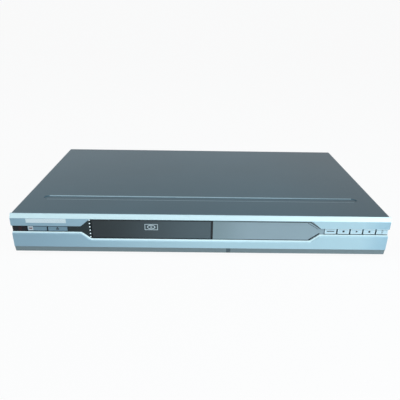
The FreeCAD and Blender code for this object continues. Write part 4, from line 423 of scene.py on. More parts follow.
class RECORDER_OT_front(bpy.types.Operator):
    """Finishes the moulded front, its windows and the tray's front"""

    bl_idname = "recorder.front"
    bl_label = "Front"

    def execute(self, context):
        colours = context.scene.recorder_colours
        self.lacquer(colours)
        self.window(colours)
        self.plastics(colours)
        return {"FINISHED"}

    def lacquer(self, colours):
        """Satin silver lacquer with fine metal flakes, sprayed on the moulded front."""
        low, high = [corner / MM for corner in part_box("front_bezel")]
        face, back = [corner.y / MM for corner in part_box("display_window")]
        # In mm: the leaning strip's height, how far the lip lies behind the face, the foot strip's height, the ends of
        # the dark mark in it, a painted reflection, and the height and side walls of the band between the strips.
        strip, lip, foot_strip, mark, band, wall = 5.2, (0.9, 4), 7.05, (29.5, 34.5), (22.1, 47.95), 0.3
        # The flakes are about 0.03 mm wide. They are drawn at 0.12 mm, as coarse as they need to show.
        front = Finish(
            "silver_lacquer_sprayed_on_plastic", colours.front, 0.36, metal=0.2, coat=0.05, grain=0.12, relief=0.002,
            patch=60, spread=0.03, speck=0.06, edge=0.25,
        )
        # Painted light and shade across the front: darker towards the left end, paler from left of the middle
        # rightwards, and darker again at the right end.
        for first, last, share, tint in (
            (-60, low.x, 0.5, "#7896aa"),
            (-140, 40, 0.55, "#bfe0ea"),
            (180, high.x, 0.45, "#82b0c9"),
        ):
            front.over(front.ramp("X", first, last, share), tint)
        # Its edges that lean back get a paler, glossier lacquer as a painted highlight. The foot strip is painted a
        # darker grey, mostly painted shade where it leans in and faces down.
        leaning = front.facing((0, -0.78, 0.63), 0.85)
        on_strip = front.within("Z", high.z - strip, high.z + PAST)
        on_lip = front.within("Y", low.y + lip[0], low.y + lip[1])
        for polished in (on_strip, on_lip):
            front.over(front.both(leaning, polished), colours.edges, rough=0.3, metal=0.1)
        foot = front.within("Z", low.z - PAST, low.z + foot_strip)
        front.over(foot, colours.base, rough=0.45, metal=0.1)
        # A dark mark in the foot strip: a painted reflection.
        front.over(front.both(foot, front.within("X", *mark)), "#46585f")
        # The floor of the band is painted near black: painted shade in the gaps round the windows and between the
        # buttons.
        bare = front.both(
            front.within("X", low.x + wall, high.x - wall),
            front.within("Y", face - 0.1, back + 3),
            front.within("Z", *band),
        )
        front.over(bare, "#1b2428", rough=0.5, metal=0)
        front.give("front_bezel")

    def window(self, colours):
        """Smoked clear plastic, silvered from behind so that the display reads through it."""
        low, high = [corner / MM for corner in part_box("display_window")]
        neck_low, neck_high = [corner.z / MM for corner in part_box("ir_window")]
        window = Finish(
            "silvered_window_polished", colours.window, 0.16, metal=0.2, coat=0.3, grain=3, relief=0.002, patch=55,
            spread=0.05, speck=0.02, gloss=0.03, edge=0.2,
        )
        # Dark lines along its edges are painted shadow: along the top and the upper slope, along the lower slope
        # and along the foot. A second fine dark line follows the upper slope, which runs from the wide part to the
        # neck.
        neck, wide = high.x - 4.5, high.x - 16.5
        for points, width in (
            ([(low.x, high.z - 1.5), (wide, high.z - 1.5), (neck, neck_high - 0.6)], 1.1),
            ([(neck - 1, neck_low + 0.6), (wide, low.z + 0.5)], 1.7),
            ([(low.x, low.z + 0.2), (wide, low.z + 0.2)], 0.6),
            ([(wide - 3, high.z - 2.6), (neck - 2.6, neck_high - 1.4)], 0.45),
        ):
            window.over(window.line(points, width), "#26343a")
        # Painted shade darkens the window towards its left end.
        window.over(window.ramp("X", low.x + 45, low.x, 0.6), "#6f878c")
        window.give("display_window")

    def plastics(self, colours):
        """Smoked plastic of the tray's front and of the trim, and the window for the remote's light."""
        low, high = [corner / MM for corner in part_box("tray_front")]
        # Moulded with a satin face. It is paler to the right as a painted reflection, and darker along its upper 2.3 mm
        # as a painted shadow under the front's rim.
        door = Finish(
            "smoked_plastic_satin_moulded", colours.door, 0.3, coat=0.1, grain=0.25, relief=0.003, patch=40,
            spread=0.08, edge=0.3, shine=0.3,
        )
        door.over(door.ramp("X", low.x, high.x, 0.8), "#57676e")
        door.over(door.within("Z", high.z - 2.3, high.z + PAST), "#10171a")
        door.give("tray_front")
        # The trim between buttons and tray: the same smoked plastic, polished.
        trim = Finish("smoked_plastic_polished", "#223033", 0.25, grain=0.8, relief=0.002, edge=0.3, shine=0.25)
        trim.give("window_end_trim")
        # Deep red black plastic that lets only the remote's light through, redder in front of the light's receiver.
        eye = Finish("infrared_window_moulded", "#161b24", 0.2, grain=1.5, relief=0.002, spread=0.2, shine=0.2)
        eye.over(eye.within("X", -208, -204), "#2a1a22")
        eye.give("ir_window")


class RECORDER_OT_name_plate(bpy.types.Operator):
    """Adds the bare name plate above the buttons"""

    bl_idname = "recorder.name_plate"
    bl_label = "Name plate"

    def execute(self, context):
        sizes = context.scene.recorder_sizes
        low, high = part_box("front_bezel")
        # In mm: how far the plate's middle lies under the front's top, its rim's width and depth, and its rounding.
        under_top, rim, deep, rounding = 7.7 * MM, 0.35 * MM, 0.08 * MM, 0.08 * MM
        left_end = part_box("power_button")[0].x
        centre = Vector((left_end + sizes.plate_width / 2, low.y, high.z - under_top))
        plate = start(bpy.ops.mesh.primitive_cube_add, size=1, location=centre)
        plate.scale = (sizes.plate_width, 2 * sizes.plate_rise, sizes.plate_height)
        settle(plate)
        with editing():
            choose(plate, lambda middle, normal: normal.y < -0.9)
            bpy.ops.mesh.inset(thickness=rim)
            bpy.ops.transform.translate(value=(0, deep, 0))
        bevel(plate, rounding)
        # Rolled aluminium, brushed along its length and clear lacquered. The brush lines are about 0.03 mm wide. They
        # are drawn at 0.08 mm, as coarse as they need to show.
        brushed = Finish(
            "aluminium_plate_brushed", "#cfe3ea", 0.3, metal=0.55, grain=0.08, drawn=(60, 1, 1), relief=0.004,
            speck=0.1, patch=50,
        )
        finished(plate, "name_plate", "case", brushed)
        return {"FINISHED"}


class RECORDER_OT_buttons(bpy.types.Operator):
    """Finishes the seven buttons and prints their marks"""

    bl_idname = "recorder.buttons"
    bl_label = "Buttons"

    def execute(self, context):
        rise = context.scene.recorder_sizes.mark_rise
        left, right = self.lacquers(context.scene.recorder_colours)
        # Ink, pad printed. Its grain is about 0.03 mm wide, and is drawn at 0.1 mm, as coarse as it needs to show.
        ink, red, white, pale = [
            Finish(f"{shade_name}_ink_pad_printed", code, rough, grain=0.1, relief=0.003, patch=2, spread=spread)
            for shade_name, code, rough, spread in (
                ("dark", "#17222a", 0.55, 0.15),
                ("red", "#6b2f3c", 0.5, 0.15),
                ("white", "#e2f4fa", 0.45, 0.05),
                ("pale", "#c3cdd2", 0.5, 0.08),
            )
        ]
        quarter, half = math.pi / 4, math.pi / 2
        # For each button: sides, width, height, place from the button's middle, line width, turn, in mm and radians.
        signs = {
            "open_close_button": ((3, 3.4, 2.2, 0, 0.45, 0, 0), (4, 3.4, 0.8, 0, -1.2, 0, quarter)),
            "input_button": ((4, 8.6, 1.0, 0, 0, 0, quarter),),
            "stop_button": ((4, 2.3, 2.3, 0, 0, 0, quarter),),
            "play_button": ((3, 2.4, 2.6, 0.1, 0, 0, half),),
            "record_button": ((24, 2.5, 2.5, 0, 0, 0, 0),),
            "channel_button": ((3, 2.6, 1.4, 0, 1.1, 0, 0), (3, 2.6, 1.4, 0, -1.1, 0, math.pi)),
        }
        for joint in frame["joints"]:
            button = joint["child"]
            if not button.endswith("_button"):
                continue
            low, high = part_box(button)
            (left if low.x < 0 else right).give(button)
            middle = Vector(((low.x + high.x) / 2, low.y, (low.z + high.z) / 2))
            shapes = [
                printed(sides, w * MM, h * MM, middle + Vector((x * MM, 0, z * MM)), rise, line * MM, turn)
                for sides, w, h, x, z, line, turn in signs.get(button, ())
            ]
            if shapes:
                finished(joined(shapes), button.replace("button", "sign"), button, ink)
            if low.x > 0:
                # A white frame of 0.55 mm just inside the button's edge.
                wide, tall = high.x - low.x - 0.9 * MM, high.z - low.z - 1.1 * MM
                outline = printed(4, wide, tall, middle, rise, 0.55 * MM, quarter)
                finished(outline, button.replace("button", "frame"), button, white)
        # The power button has a pale field at its left end with a red bar on it.
        low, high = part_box("power_button")
        spot = Vector((low.x + 3.6 * MM, low.y, (low.z + high.z) / 2))
        field = printed(4, 5.6 * MM, 5.2 * MM, spot, rise, 0, quarter)
        finished(field, "power_field", "power_button", pale)
        bar = printed(4, 3.6 * MM, 1.3 * MM, spot - Vector((0, rise, 0)), rise, 0, quarter)
        finished(bar, "power_sign", "power_button", red)
        return {"FINISHED"}

    def lacquers(self, colours):
        """The front's lacquer in a shaded copy for the left buttons and a lit copy for the right ones, with painted
        shade along top and bottom.
        """
        low, high = [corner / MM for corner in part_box("power_button")]
        made = []
        for shade_name, colour, dark in (
            ("shaded_silver", colours.keys, "#2f444f"),
            ("lit_silver", colours.pale_keys, "#5b7a87"),
        ):
            # Flakes of about 0.03 mm are drawn at 0.12 mm here too.
            lacquer = Finish(
                f"{shade_name}_lacquer_sprayed_on_buttons", colour, 0.36, metal=0.2, coat=0.05, grain=0.12,
                relief=0.002, patch=14, spread=0.04, speck=0.06, edge=0.3,
            )
            # Painted shade along the top and the bottom of each button.
            lacquer.over(lacquer.within("Z", high.z - 1.5, high.z + PAST), dark)
            lacquer.over(lacquer.within("Z", low.z - PAST, low.z + 0.6), dark)
            made.append(lacquer)
        return made


class RECORDER_OT_door_emblem(bpy.types.Operator):
    """Adds the plain disc sign on the tray's front"""

    bl_idname = "recorder.door_emblem"
    bl_label = "Disc sign"

    def execute(self, context):
        sizes = context.scene.recorder_sizes
        low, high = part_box("tray_front")
        wide, rise, quarter = sizes.emblem_width, sizes.mark_rise, math.pi / 4
        spot = Vector((low.x + 0.5 * (high.x - low.x), low.y, low.z + 0.6 * (high.z - low.z)))
        line = 0.045 * wide
        # A frame, the disc's outer ring and the ring of its hole.
        shapes = [
            printed(4, wide, 0.5 * wide, spot, rise, line, quarter),
            printed(32, 0.62 * wide, 0.36 * wide, spot, rise, 1.3 * line),
            printed(24, 0.16 * wide, 0.1 * wide, spot, rise, 0.8 * line),
        ]
        # Pale ink, pad printed on the smoked plastic, its grain drawn at 0.1 mm to show.
        ink = Finish(
            "light_grey_ink_pad_printed", "#c3d4da", 0.45, grain=0.1, relief=0.003, patch=2, spread=0.1
        )
        finished(joined(shapes), "disc_sign", "tray", ink)
        return {"FINISHED"}


class RECORDER_OT_glint_pips(bpy.types.Operator):
    """Adds a column of small glowing pips at the end of the dark trim, as painted glints on its edge"""

    bl_idname = "recorder.light_pips"
    bl_label = "Light pips"

    def execute(self, context):
        sizes = context.scene.recorder_sizes
        low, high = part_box("window_end_trim")
        # A pip's depth, bulge and rounding, and how far the column stays from the trim's side and from its ends.
        deep, bulge, rounding, from_side, from_end = 0.5 * MM, 0.12 * MM, 0.06 * MM, 1.1 * MM, 1.8 * MM
        # Glossy clear plastic that glows pale though no lamp is behind it: painted glints on the trim's edge.
        clear = Finish("light_pip_moulded", "#e6f6fb", 0.15, coat=0.6, grain=0.5, relief=0.001, spread=0.03)
        clear.shader.inputs["Emission Color"].default_value = shade("#e6f6fb")
        clear.shader.inputs["Emission Strength"].default_value = 0.5
        radius = sizes.pip_radius
        pip = start(
            bpy.ops.mesh.primitive_cylinder_add, vertices=20, radius=radius, depth=deep, end_fill_type="NGON"
        )
        with editing():
            choose(pip, lambda middle, normal: normal.z > 0.9)
            bpy.ops.mesh.inset(thickness=0.35 * radius)
            bpy.ops.transform.translate(value=(0, 0, bulge))
        bevel(pip, rounding)
        step = (high.z - low.z - 2 * from_end) / (sizes.pip_count - 1)
        for i in range(sizes.pip_count):
            place = (high.x - from_side, low.y, low.z + from_end + i * step)
            copy = copied(pip, f"light_pip_{i + 1}", turned_to((0, -1, 0), place))
            finished(copy, copy.name, "case", clear)
        bpy.data.objects.remove(pip)
        return {"FINISHED"}


class RECORDER_OT_case(bpy.types.Operator):
    """Finishes the cover, the chassis, the feet and the rear panel"""

    bl_idname = "recorder.case"
    bl_label = "Case"

    def execute(self, context):
        # Charcoal paint, baked on steel with a fine orange peel.
        cover = Finish(
            "charcoal_paint_baked_on_steel", context.scene.recorder_colours.cover, 0.36, metal=0.1, grain=0.7,
            relief=0.02, patch=110, spread=0.14, speck=0.12, edge=0.4, shine=0.4,
        )
        # Along both edges of the pressed bead a paler line is painted as a highlight. In mm: the bead's middle, half
        # its width, how far it reaches to each side, half the width of a highlight line, and the heights that the
        # cover's top lies between.
        middle, half, reach, sheen_half, top = -77.5, 5.5, 187, 0.75, (50, 54)
        for side in (-1, 1):
            edge = middle + side * half
            bead_sheen = cover.both(
                cover.within("X", -reach, reach),
                cover.within("Y", edge - sheen_half, edge + sheen_half),
                cover.within("Z", *top),
            )
            cover.over(bead_sheen, "#8fa9b3")
        # Painted shade darkens the paint towards the right end.
        cover.over(cover.ramp("X", 70, 214, 0.35), "#22343c")
        cover.give("top_cover")
        # Zinc plated steel sheet, cold rolled, with streaks across the case and a faint spangle of about 7 mm.
        zinc = Finish(
            "zinc_plated_steel_rolled", "#a9aeae", 0.36, metal=0.85, grain=0.5, drawn=(14, 1, 1), relief=0.006,
            patch=18, spread=0.1, speck=0.1, edge=0.2,
        )
        cells = add(zinc.tree, "TexVoronoi", {"Vector": zinc.place, "Scale": 1 / 7})
        inputs = {0: cells["Color"], 1: 0.16}
        faint = add(zinc.tree, "Math", inputs, operation="MULTIPLY")[0]
        zinc.over(faint, "#7c8484")
        zinc.give("chassis_pan", "rear_panel")
        # Black plastic, moulded in a spark eroded tool. Its pits of about 0.1 mm are drawn at 0.35 mm to show.
        black = Finish("black_plastic_moulded", "#1d1e20", 0.5, grain=0.35, relief=0.02, spread=0.12, edge=0.3)
        black.give("feet", "fan_frame", "fan_rotor")
        # Soft rubber, cut from sheet, dusty in its pores.
        rubber = Finish("foot_rubber_cut", "#262626", 0.8, grain=0.5, relief=0.05, patch=6, spread=0.2, speck=0.2)
        rubber.give("foot_pads")
        return {"FINISHED"}


class RECORDER_OT_screws(bpy.types.Operator):
    """Puts a cross recessed pan head screw in place of each plain case screw"""

    bl_idname = "recorder.screws"
    bl_label = "Case screws"

    def execute(self, context):
        sizes = context.scene.recorder_sizes
        head = self.head(context, sizes.head_radius, sizes.head_height)
        # Steel, cold headed, with a dark zinc plating that keeps a metal shine.
        plated = Finish("screw_steel_dark_plated", "#5f6468", 0.3, metal=1, grain=0.3, relief=0.004, patch=3)
        plated.give("case_screws", "inner_screws")
        tall = sizes.head_height
        screws = []
        for low, high in clusters("case_screws", 14 * MM):
            middle = (low + high) / 2
            if high.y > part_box("rear_panel")[1].y:
                out, place = (0, 1, 0), (middle.x, high.y - tall, middle.z)
            else:
                side = math.copysign(1, middle.x)
                edge = high.x if side > 0 else low.x
                out, place = (side, 0, 0), (edge - side * tall, middle.y, middle.z)
            screws.append(copied(head, f"case_screw_{len(screws) + 1}", turned_to(out, place)))
        bpy.data.objects.remove(head)
        for screw in screws:
            finished(screw, screw.name, "case", plated)
        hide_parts("case_screws")
        return {"FINISHED"}

    def head(self, context, radius, tall):
        """A pan head on the origin that faces +Z, with a short shank and a cross recess."""
        head = start(
            bpy.ops.mesh.primitive_cylinder_add, vertices=32, radius=radius, depth=tall, location=(0, 0, tall / 2)
        )
        settle(head)
        with editing():
            choose(head, lambda middle, normal: normal.z > 0.9)
            # The top is lowered, then drawn up again in two smaller steps, which rounds the pan.
            bpy.ops.transform.translate(value=(0, 0, -0.35 * tall))
            for inset, lift in ((0.22, 0.25), (0.3, 0.08)):
                bpy.ops.mesh.inset(thickness=inset * radius)
                bpy.ops.transform.translate(value=(0, 0, lift * tall))
            choose(head, lambda middle, normal: normal.z < -0.9)
            bpy.ops.mesh.inset(thickness=0.5 * radius)
            bpy.ops.mesh.extrude_region_move(TRANSFORM_OT_translate={"value": (0, 0, -3.5 * tall)})
        bevel(head, 0.06 * radius, angle=25)
        # The recess: one tapered bar, cut out twice at a right angle.
        cutter = start(bpy.ops.mesh.primitive_cube_add, size=1, location=(0, 0, tall))
        cutter.scale = (1.15 * radius, 0.26 * radius, 1.3 * tall)
        settle(cutter)
        with editing():
            choose(cutter, lambda middle, normal: normal.z < -0.9)
            bpy.ops.transform.resize(value=(0.45, 0.7, 1))
        for _ in range(2):
            modify(head, "BOOLEAN", object=cutter, operation="DIFFERENCE", solver="EXACT")
            cutter.rotation_euler.z += math.pi / 2
            context.view_layer.update()
        bpy.data.objects.remove(cutter)
        return head


class RECORDER_OT_sockets(bpy.types.Operator):
    """Finishes the sockets at the back and adds their coloured rings"""

    bl_idname = "recorder.sockets"
    bl_label = "Sockets"

    def execute(self, context):
        # Each barrel starts at the end of the square nose that brings it through the rear panel.
        pins = [mount for mount in frame["record"]["mounts"] if mount["kind"] == "pin"]
        nose = pins[0]["pos_m"][1] - pins[0]["dims"]["length_mm"] / 2 * MM
        self.blocks(nose / MM)
        # Coloured plastic, moulded and semi gloss.
        codes = {"video": "#d9b428", "left": "#e6e4dc", "right": "#b8262b", "green": "#2f8a4a", "blue": "#2b5aa8",
                 "red": "#b8262b", "coaxial": "#d2691e"}
        inks = {
            key: Finish(f"{key}_insulator_moulded", code, 0.32, coat=0.2, grain=0.3, relief=0.004, patch=3)
            for key, code in codes.items()
        }
        # A ring at the foot of each barrel, and a cap that just covers its tip.
        ring = self.ring(radius=5.3 * MM, width=0.9 * MM, height=0.5 * MM)
        cap = self.ring(radius=3.3 * MM, width=1.6 * MM, height=0.25 * MM)
        for mount in pins:
            words = mount["name"].split("_")
            key = next((k for k in inks if k in words), None)
            if key is None:
                continue
            x, y, z = mount["pos_m"]
            tip = y + mount["dims"]["length_mm"] / 2 * MM
            for kind, shape, at in (("ring", ring, nose), ("cap", cap, tip - 0.1 * MM)):
                name = f"{mount['name']}_{kind}"
                piece = copied(shape, name, turned_to((0, 1, 0), (x, at, z)))
                finished(piece, name, "case", inks[key])
        for shape in (ring, cap):
            bpy.data.objects.remove(shape)
        return {"FINISHED"}

    def blocks(self, nose):
        """Finishes the blocks, whose bright barrels start at the nose's end, at a place along Y in mm."""
        beyond = nose + 40
        # Satin black plastic bodies with bright nickel plated barrels that stand out of the back.
        phono = Finish("phono_block_moulded", "#222326", 0.5, grain=0.35, relief=0.02)
        phono.over(phono.within("Y", nose + 0.05, beyond), "#c9c6bd", rough=0.22, metal=1.0)
        phono.give("rca_sockets")
        # Tin plated steel can, folded, with nickel barrels whose threads have their real pitch of 0.79 mm.
        tin = Finish(
            "tuner_can_tin_plated", "#b9bdbd", 0.28, metal=0.95, grain=0.6, drawn=(1, 10, 1), relief=0.005,
            patch=14, spread=0.09,
        )
        waves = add(tin.tree, "TexWave", {"Vector": tin.place, "Scale": 0.4}, bands_direction="Y")
        thread = tin.both(waves["Fac"], tin.within("Y", nose + 0.9, beyond))
        tin.over(thread, "#77756c")
        tin.give("tuner_box")
        # Black plastic, moulded with a satin skin.
        Finish("socket_block_moulded", "#202124", 0.45, grain=0.35, relief=0.015).give("small_sockets")
        # Satin black plastic inlet with two bright pins, each 4.3 mm from its middle.
        inlet = Finish("inlet_moulded", "#1b1c1e", 0.5, grain=0.35, relief=0.02)
        spot = next(mount["pos_m"] for mount in frame["record"]["mounts"] if mount["name"] == "mains_inlet")
        for side in (-1, 1):
            axis = (spot[0] / MM + side * 4.3, 0, spot[2] / MM)
            inlet.over(inlet.around("Y", axis, 1.3), "#cfcbbf", rough=0.2, metal=1.0)
        inlet.give("ac_inlet")

    def ring(self, radius, width, height):
        """A rounded flat ring that stands on its origin."""
        shape = start(bpy.ops.mesh.primitive_circle_add, vertices=36, radius=radius, fill_type="NGON")
        with editing():
            bpy.ops.mesh.select_all(action="SELECT")
            bpy.ops.mesh.inset(thickness=width)
            bpy.ops.mesh.delete(type="FACE")
        modify(shape, "SOLIDIFY", thickness=height, offset=1)
        bevel(shape, 0.25 * height, angle=60)
        return shape


class RECORDER_OT_boards(bpy.types.Operator):
    """Finishes the boards and what is soldered to them"""

    bl_idname = "recorder.boards"
    bl_label = "Boards"

    def execute(self, context):
        pcb("solder_mask_on_flat_boards", False).give("main_board", "power_board")
        pcb("solder_mask_on_upright_boards", True).give("key_board", "front_board")
        # Black epoxy, transfer moulded, which leaves it dull with fine specks.
        chip = Finish("chip_epoxy_moulded", "#26272a", 0.6, grain=0.2, relief=0.01, patch=5, speck=0.15)
        chip.give("main_components", "button_switches", "ir_receiver")
        # Aluminium, extruded, which leaves fine upright lines. They are drawn 0.15 mm wide to show.
        fins = Finish(
            "fin_aluminium_extruded", "#b4b8ba", 0.35, metal=1, grain=0.15, drawn=(1, 1, 20), relief=0.006,
            speck=0.08,
        )
        fins.give("main_heatsink", "power_heatsink")
        # Plastic sleeve shrunk glossy on drawn aluminium cans, which are bare on top.
        cans = Finish("can_sleeve_shrunk", "#1d2440", 0.25, coat=0.4, grain=0.8, relief=0.004)
        cans.over(cans.facing((0, 0, 1)), "#b9bcbe", rough=0.3, metal=1.0)
        cans.give("power_capacitors")
        # Sintered ferrite, dull and speckled, with a coil wrapped in smoother yellow tape.
        core = Finish("ferrite_sintered_and_tape", "#2b2b2b", 0.7, grain=0.3, relief=0.02, speck=0.2)
        core.over(core.within("Z", 19, 33), "#c9a93a", rough=0.4)
        core.give("power_transformer")
        # Glass tube with a grey grid behind it, whose lines are drawn 3.9 mm apart, as coarse as they need to show.
        tube = Finish("display_tube_glass_drawn", "#1d2a28", 0.06, coat=1, grain=4, relief=0.001, spread=0.2)
        # Ivory nylon sockets and a white flat cable whose wires, 1 mm apart, show as ribs.
        Finish("ivory_nylon_moulded", "#ded8c4", 0.45, grain=0.3, relief=0.01).give("cable_sockets")
        cable = Finish("flat_cable_laminated", "#d9dad6", 0.35, coat=0.2, grain=0.5, relief=0.003)
        for finish, scale, least, tint in ((tube, 0.08, 0.9, "#3c4a47"), (cable, 0.314, 0.6, "#b3b5b3")):
            waves = add(finish.tree, "TexWave", {"Vector": finish.place, "Scale": scale}, bands_direction="X")
            inputs = {0: waves["Fac"], 1: least}
            stripe = add(finish.tree, "Math", inputs, operation="GREATER_THAN")[0]
            finish.over(stripe, tint)
        tube.give("display_tube")
        cable.give("front_cable")
        return {"FINISHED"}


class RECORDER_OT_disc_drive(bpy.types.Operator):
    """Finishes the disc drive: tray, gears, lift, motors and laser sled"""

    bl_idname = "recorder.disc_drive"
    bl_label = "Disc drive"

    def execute(self, context):
        # Dark grey plastic with glass fibre, moulded, which leaves it matt with a pitted skin.
        grey = Finish("filled_plastic_moulded", "#3d3f42", 0.5, grain=0.4, relief=0.015, spread=0.1, edge=0.2)
        grey.give("drive_frame", "disc_tray", "lift_frame", "clamp_puck")
        # The same plastic, with a dull rubber ring on top for the disc to rest on.
        table = Finish("turntable_moulded_with_rubber", "#3d3f42", 0.45, grain=0.4, relief=0.01)
        low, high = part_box("turntable")
        centre = ((low + high) / 2) / MM
        ring = table.both(table.facing((0, 0, 1), 0.6), table.around("Z", centre, 14.3))
        table.over(ring, "#1a1a1a", rough=0.8)
        table.over(table.around("Z", centre, 9.4), "#4a4c50", rough=0.4)
        table.give("turntable")
        # Ivory acetal, moulded, slick with a soft shine.
        slick = Finish("ivory_acetal_moulded", "#e2dfd2", 0.38, grain=0.4, relief=0.006, patch=8, spread=0.04)
        slick.give("cam_slider", "drive_gear", "belt_gear", "motor_pulley")
        # Black rubber, ground round, which leaves it dull and dusty.
        soft = Finish("belt_rubber_ground", "#1b1b1b", 0.75, grain=0.3, relief=0.02, speck=0.2)
        soft.give("drive_belt", "rubber_dampers")
        # Deep drawn steel cans, nickel plated bright, with faint lines along the draw.
        cans = Finish(
            "motor_can_drawn_and_plated", "#b0b2b4", 0.25, metal=1, grain=0.3, drawn=(1, 1, 8), relief=0.004
        )
        cans.give("loading_motor", "spindle_motor", "sled_motor")
        # Tin plated steel, pressed, bright with faint rolling lines.
        tin = Finish(
            "tin_plated_steel_pressed", "#b9bdbd", 0.3, metal=0.95, grain=0.6, drawn=(8, 1, 1), relief=0.005,
            patch=12, spread=0.1,
        )
        tin.give("clamp_bridge", "traverse_plate")
        # Ground and polished steel rods, and the rolled screw. Grinding lines of 0.01 mm are drawn at 0.15 mm to show.
        rods = Finish("rod_steel_ground", "#cfd1d3", 0.12, metal=1, grain=0.15, drawn=(1, 10, 1), relief=0.002)
        rods.give("guide_rods", "lead_screw")
        # Zinc, pressure cast, which leaves a dull grainy skin.
        Finish("zinc_pressure_cast", "#8f9294", 0.45, metal=0.9, grain=0.5, relief=0.02, patch=6).give("laser_sled")
        # Coated glass lens, moulded smooth, with a blue shine.
        Finish("lens_coated_glass", "#5a6fb0", 0.04, coat=1, grain=2, relief=0.0005, spread=0.2).give("pickup_lens")
        return {"FINISHED"}


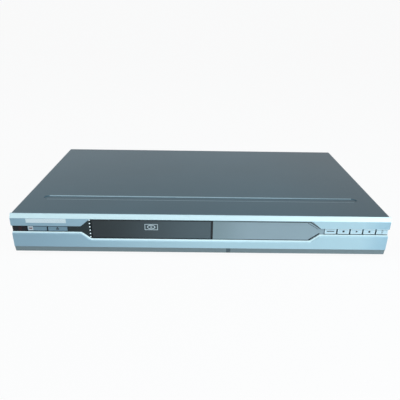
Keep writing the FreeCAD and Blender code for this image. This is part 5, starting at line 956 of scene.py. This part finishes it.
class RECORDER_OT_stage(bpy.types.Operator):
    """Sets the floor, the backdrop, the lamps and the camera"""

    bl_idname = "recorder.stage"
    bl_label = "Stage"

    def execute(self, context):
        wishes = context.scene.recorder_stage
        # A floor whose back edge is drawn up and rounded, all in metres.
        span, tall, bend = 6, 3, 1.0
        floor = start(bpy.ops.mesh.primitive_plane_add, size=span, location=(0, 0, 0))
        with editing():
            bpy.ops.mesh.select_mode(type="EDGE")
            bpy.ops.mesh.select_all(action="DESELECT")
            shape = bmesh.from_edit_mesh(floor.data)
            for edge in shape.edges:
                edge.select_set(all(vertex.co.y > 0.48 * span for vertex in edge.verts))
            bmesh.update_edit_mesh(floor.data)
            bpy.ops.mesh.extrude_region_move(TRANSFORM_OT_translate={"value": (0, 0, tall)})
        bevel(floor, bend, segments=12)
        bpy.ops.object.shade_smooth()
        floor.name = "studio_sweep"
        floor.data.materials.append(self.white_sweep())
        self.sky(context, wishes.sky)
        # Each lamp's name, place and size in metres, power and tint.
        for name, place, size, power, tint in (
            ("key_lamp", (0.75, -0.95, 0.42), (0.8, 0.5), wishes.key_power, "#f4fbff"),
            ("fill_lamp", (-1.5, -1.2, 0.9), (1.2, 1.0), wishes.fill_power, "#e6f3ff"),
            ("top_lamp", (-0.35, -0.6, 1.5), (1.6, 0.9), wishes.top_power, "#f0f9ff"),
        ):
            self.lamp(context, name, place, size, power, tint)
        camera = bpy.data.objects.new("camera", bpy.data.cameras.new("camera"))
        context.scene.collection.objects.link(camera)
        camera.data.lens, camera.data.sensor_width = wishes.lens, 36
        turns = [Matrix.Rotation(math.radians(angle), 4, axis) for angle, axis in zip(CAMERA_TURNS, "ZXZ")]
        look = turns[0] @ turns[1] @ turns[2]
        camera.matrix_world = Matrix.Translation(Vector(CAMERA_PLACE) * MM) @ look
        context.scene.camera = camera
        context.scene.view_settings.view_transform = "Standard"
        return {"FINISHED"}

    def white_sweep(self):
        """Pale paper that shows nearly white to the camera and in reflections, and keeps the shadow."""
        made = bpy.data.materials.new("pale_paper_sweep")
        made.use_nodes = True
        tree = made.node_tree
        shader = tree.nodes["Principled BSDF"]
        shader.inputs["Roughness"].default_value = 0.9
        place = add(tree, "TexCoord")["Object"]
        # Paper fibres of 0.03 mm are drawn at 1 mm, as coarse as they need to show.
        fibres = add(tree, "TexNoise", {"Vector": place, "Scale": 900, "Detail": 2})[0]
        tones = {FACTOR: fibres, COLOUR_A: shade("#e9eff2"), COLOUR_B: shade("#f4f8fa")}
        tone = add(tree, "Mix", tones, data_type="RGBA")
        tree.links.new(tone[COLOUR_OUT], shader.inputs["Base Color"])
        glow = add(tree, "Emission", {"Color": (1, 1, 1, 1), "Strength": 1})
        share = add(tree, "Math", {0: self.seen(tree), 1: 0.93}, operation="MULTIPLY")[0]
        mixed = add(tree, "MixShader", {0: share, 1: shader.outputs[0], 2: glow[0]})
        tree.links.new(mixed[0], tree.nodes["Material Output"].inputs["Surface"])
        return made

    def seen(self, tree):
        """1 for a ray from the camera, and for one that a mirror or glass sends on."""
        rays = add(tree, "LightPath")
        share = rays["Is Camera Ray"]
        for other in ("Is Glossy Ray", "Is Transmission Ray"):
            share = add(tree, "Math", {0: share, 1: rays[other]}, operation="MAXIMUM")[0]
        return share

    def sky(self, context, strength):
        """A white world for the camera, and a softer pale one as light."""
        world = context.scene.world or bpy.data.worlds.new("sky")
        context.scene.world = world
        world.use_nodes = True
        tree = world.node_tree
        tree.nodes.clear()
        soft = add(tree, "Background", {"Color": shade("#eaf5fb"), "Strength": strength})
        white = add(tree, "Background", {"Color": (1, 1, 1, 1), "Strength": 1})
        mixed = add(tree, "MixShader", {0: self.seen(tree), 1: soft[0], 2: white[0]})
        add(tree, "OutputWorld", {"Surface": mixed[0]})

    def lamp(self, context, name, place, size, power, tint):
        """A large soft lamp that looks at the recorder."""
        made = bpy.data.lights.new(name, "AREA")
        made.shape = "RECTANGLE"
        made.size, made.size_y = size
        made.energy = power
        made.color = linear(tint)
        holder = bpy.data.objects.new(name, made)
        context.scene.collection.objects.link(holder)
        holder.location = place
        holder.rotation_mode = "QUATERNION"
        holder.rotation_quaternion = (Vector((0, -0.05, 0.03)) - Vector(place)).to_track_quat("-Z", "Y")


OPERATORS = (
    RECORDER_OT_front,
    RECORDER_OT_name_plate,
    RECORDER_OT_buttons,
    RECORDER_OT_door_emblem,
    RECORDER_OT_glint_pips,
    RECORDER_OT_case,
    RECORDER_OT_screws,
    RECORDER_OT_sockets,
    RECORDER_OT_boards,
    RECORDER_OT_disc_drive,
    RECORDER_OT_stage,
)


class RECORDER_PT_panel(bpy.types.Panel):
    """Lists the recorder's sizes, colours and pieces"""

    bl_idname = "RECORDER_PT_panel"
    bl_label = "Disc recorder"
    bl_space_type = "VIEW_3D"
    bl_region_type = "UI"
    bl_category = "Recorder"

    def draw(self, context):
        for group in ("recorder_sizes", "recorder_colours", "recorder_stage"):
            box = self.layout.box()
            settings = getattr(context.scene, group)
            for field in settings.bl_rna.properties.keys():
                if field not in ("rna_type", "name"):
                    box.prop(settings, field)
        for operator in OPERATORS:
            self.layout.operator(operator.bl_idname)


CLASSES = (RecorderSizes, RecorderColours, RecorderStage, *OPERATORS, RECORDER_PT_panel)


def register():
    for kind in CLASSES:
        bpy.utils.register_class(kind)
    bpy.types.Scene.recorder_sizes = PointerProperty(type=RecorderSizes)
    bpy.types.Scene.recorder_colours = PointerProperty(type=RecorderColours)
    bpy.types.Scene.recorder_stage = PointerProperty(type=RecorderStage)


def unregister():
    for group in ("recorder_sizes", "recorder_colours", "recorder_stage"):
        delattr(bpy.types.Scene, group)
    for kind in reversed(CLASSES):
        bpy.utils.unregister_class(kind)


def main():
    register()
    for operator in OPERATORS:
        area, name = operator.bl_idname.split(".")
        getattr(getattr(bpy.ops, area), name)()


if __name__ == "__main__":
    main()
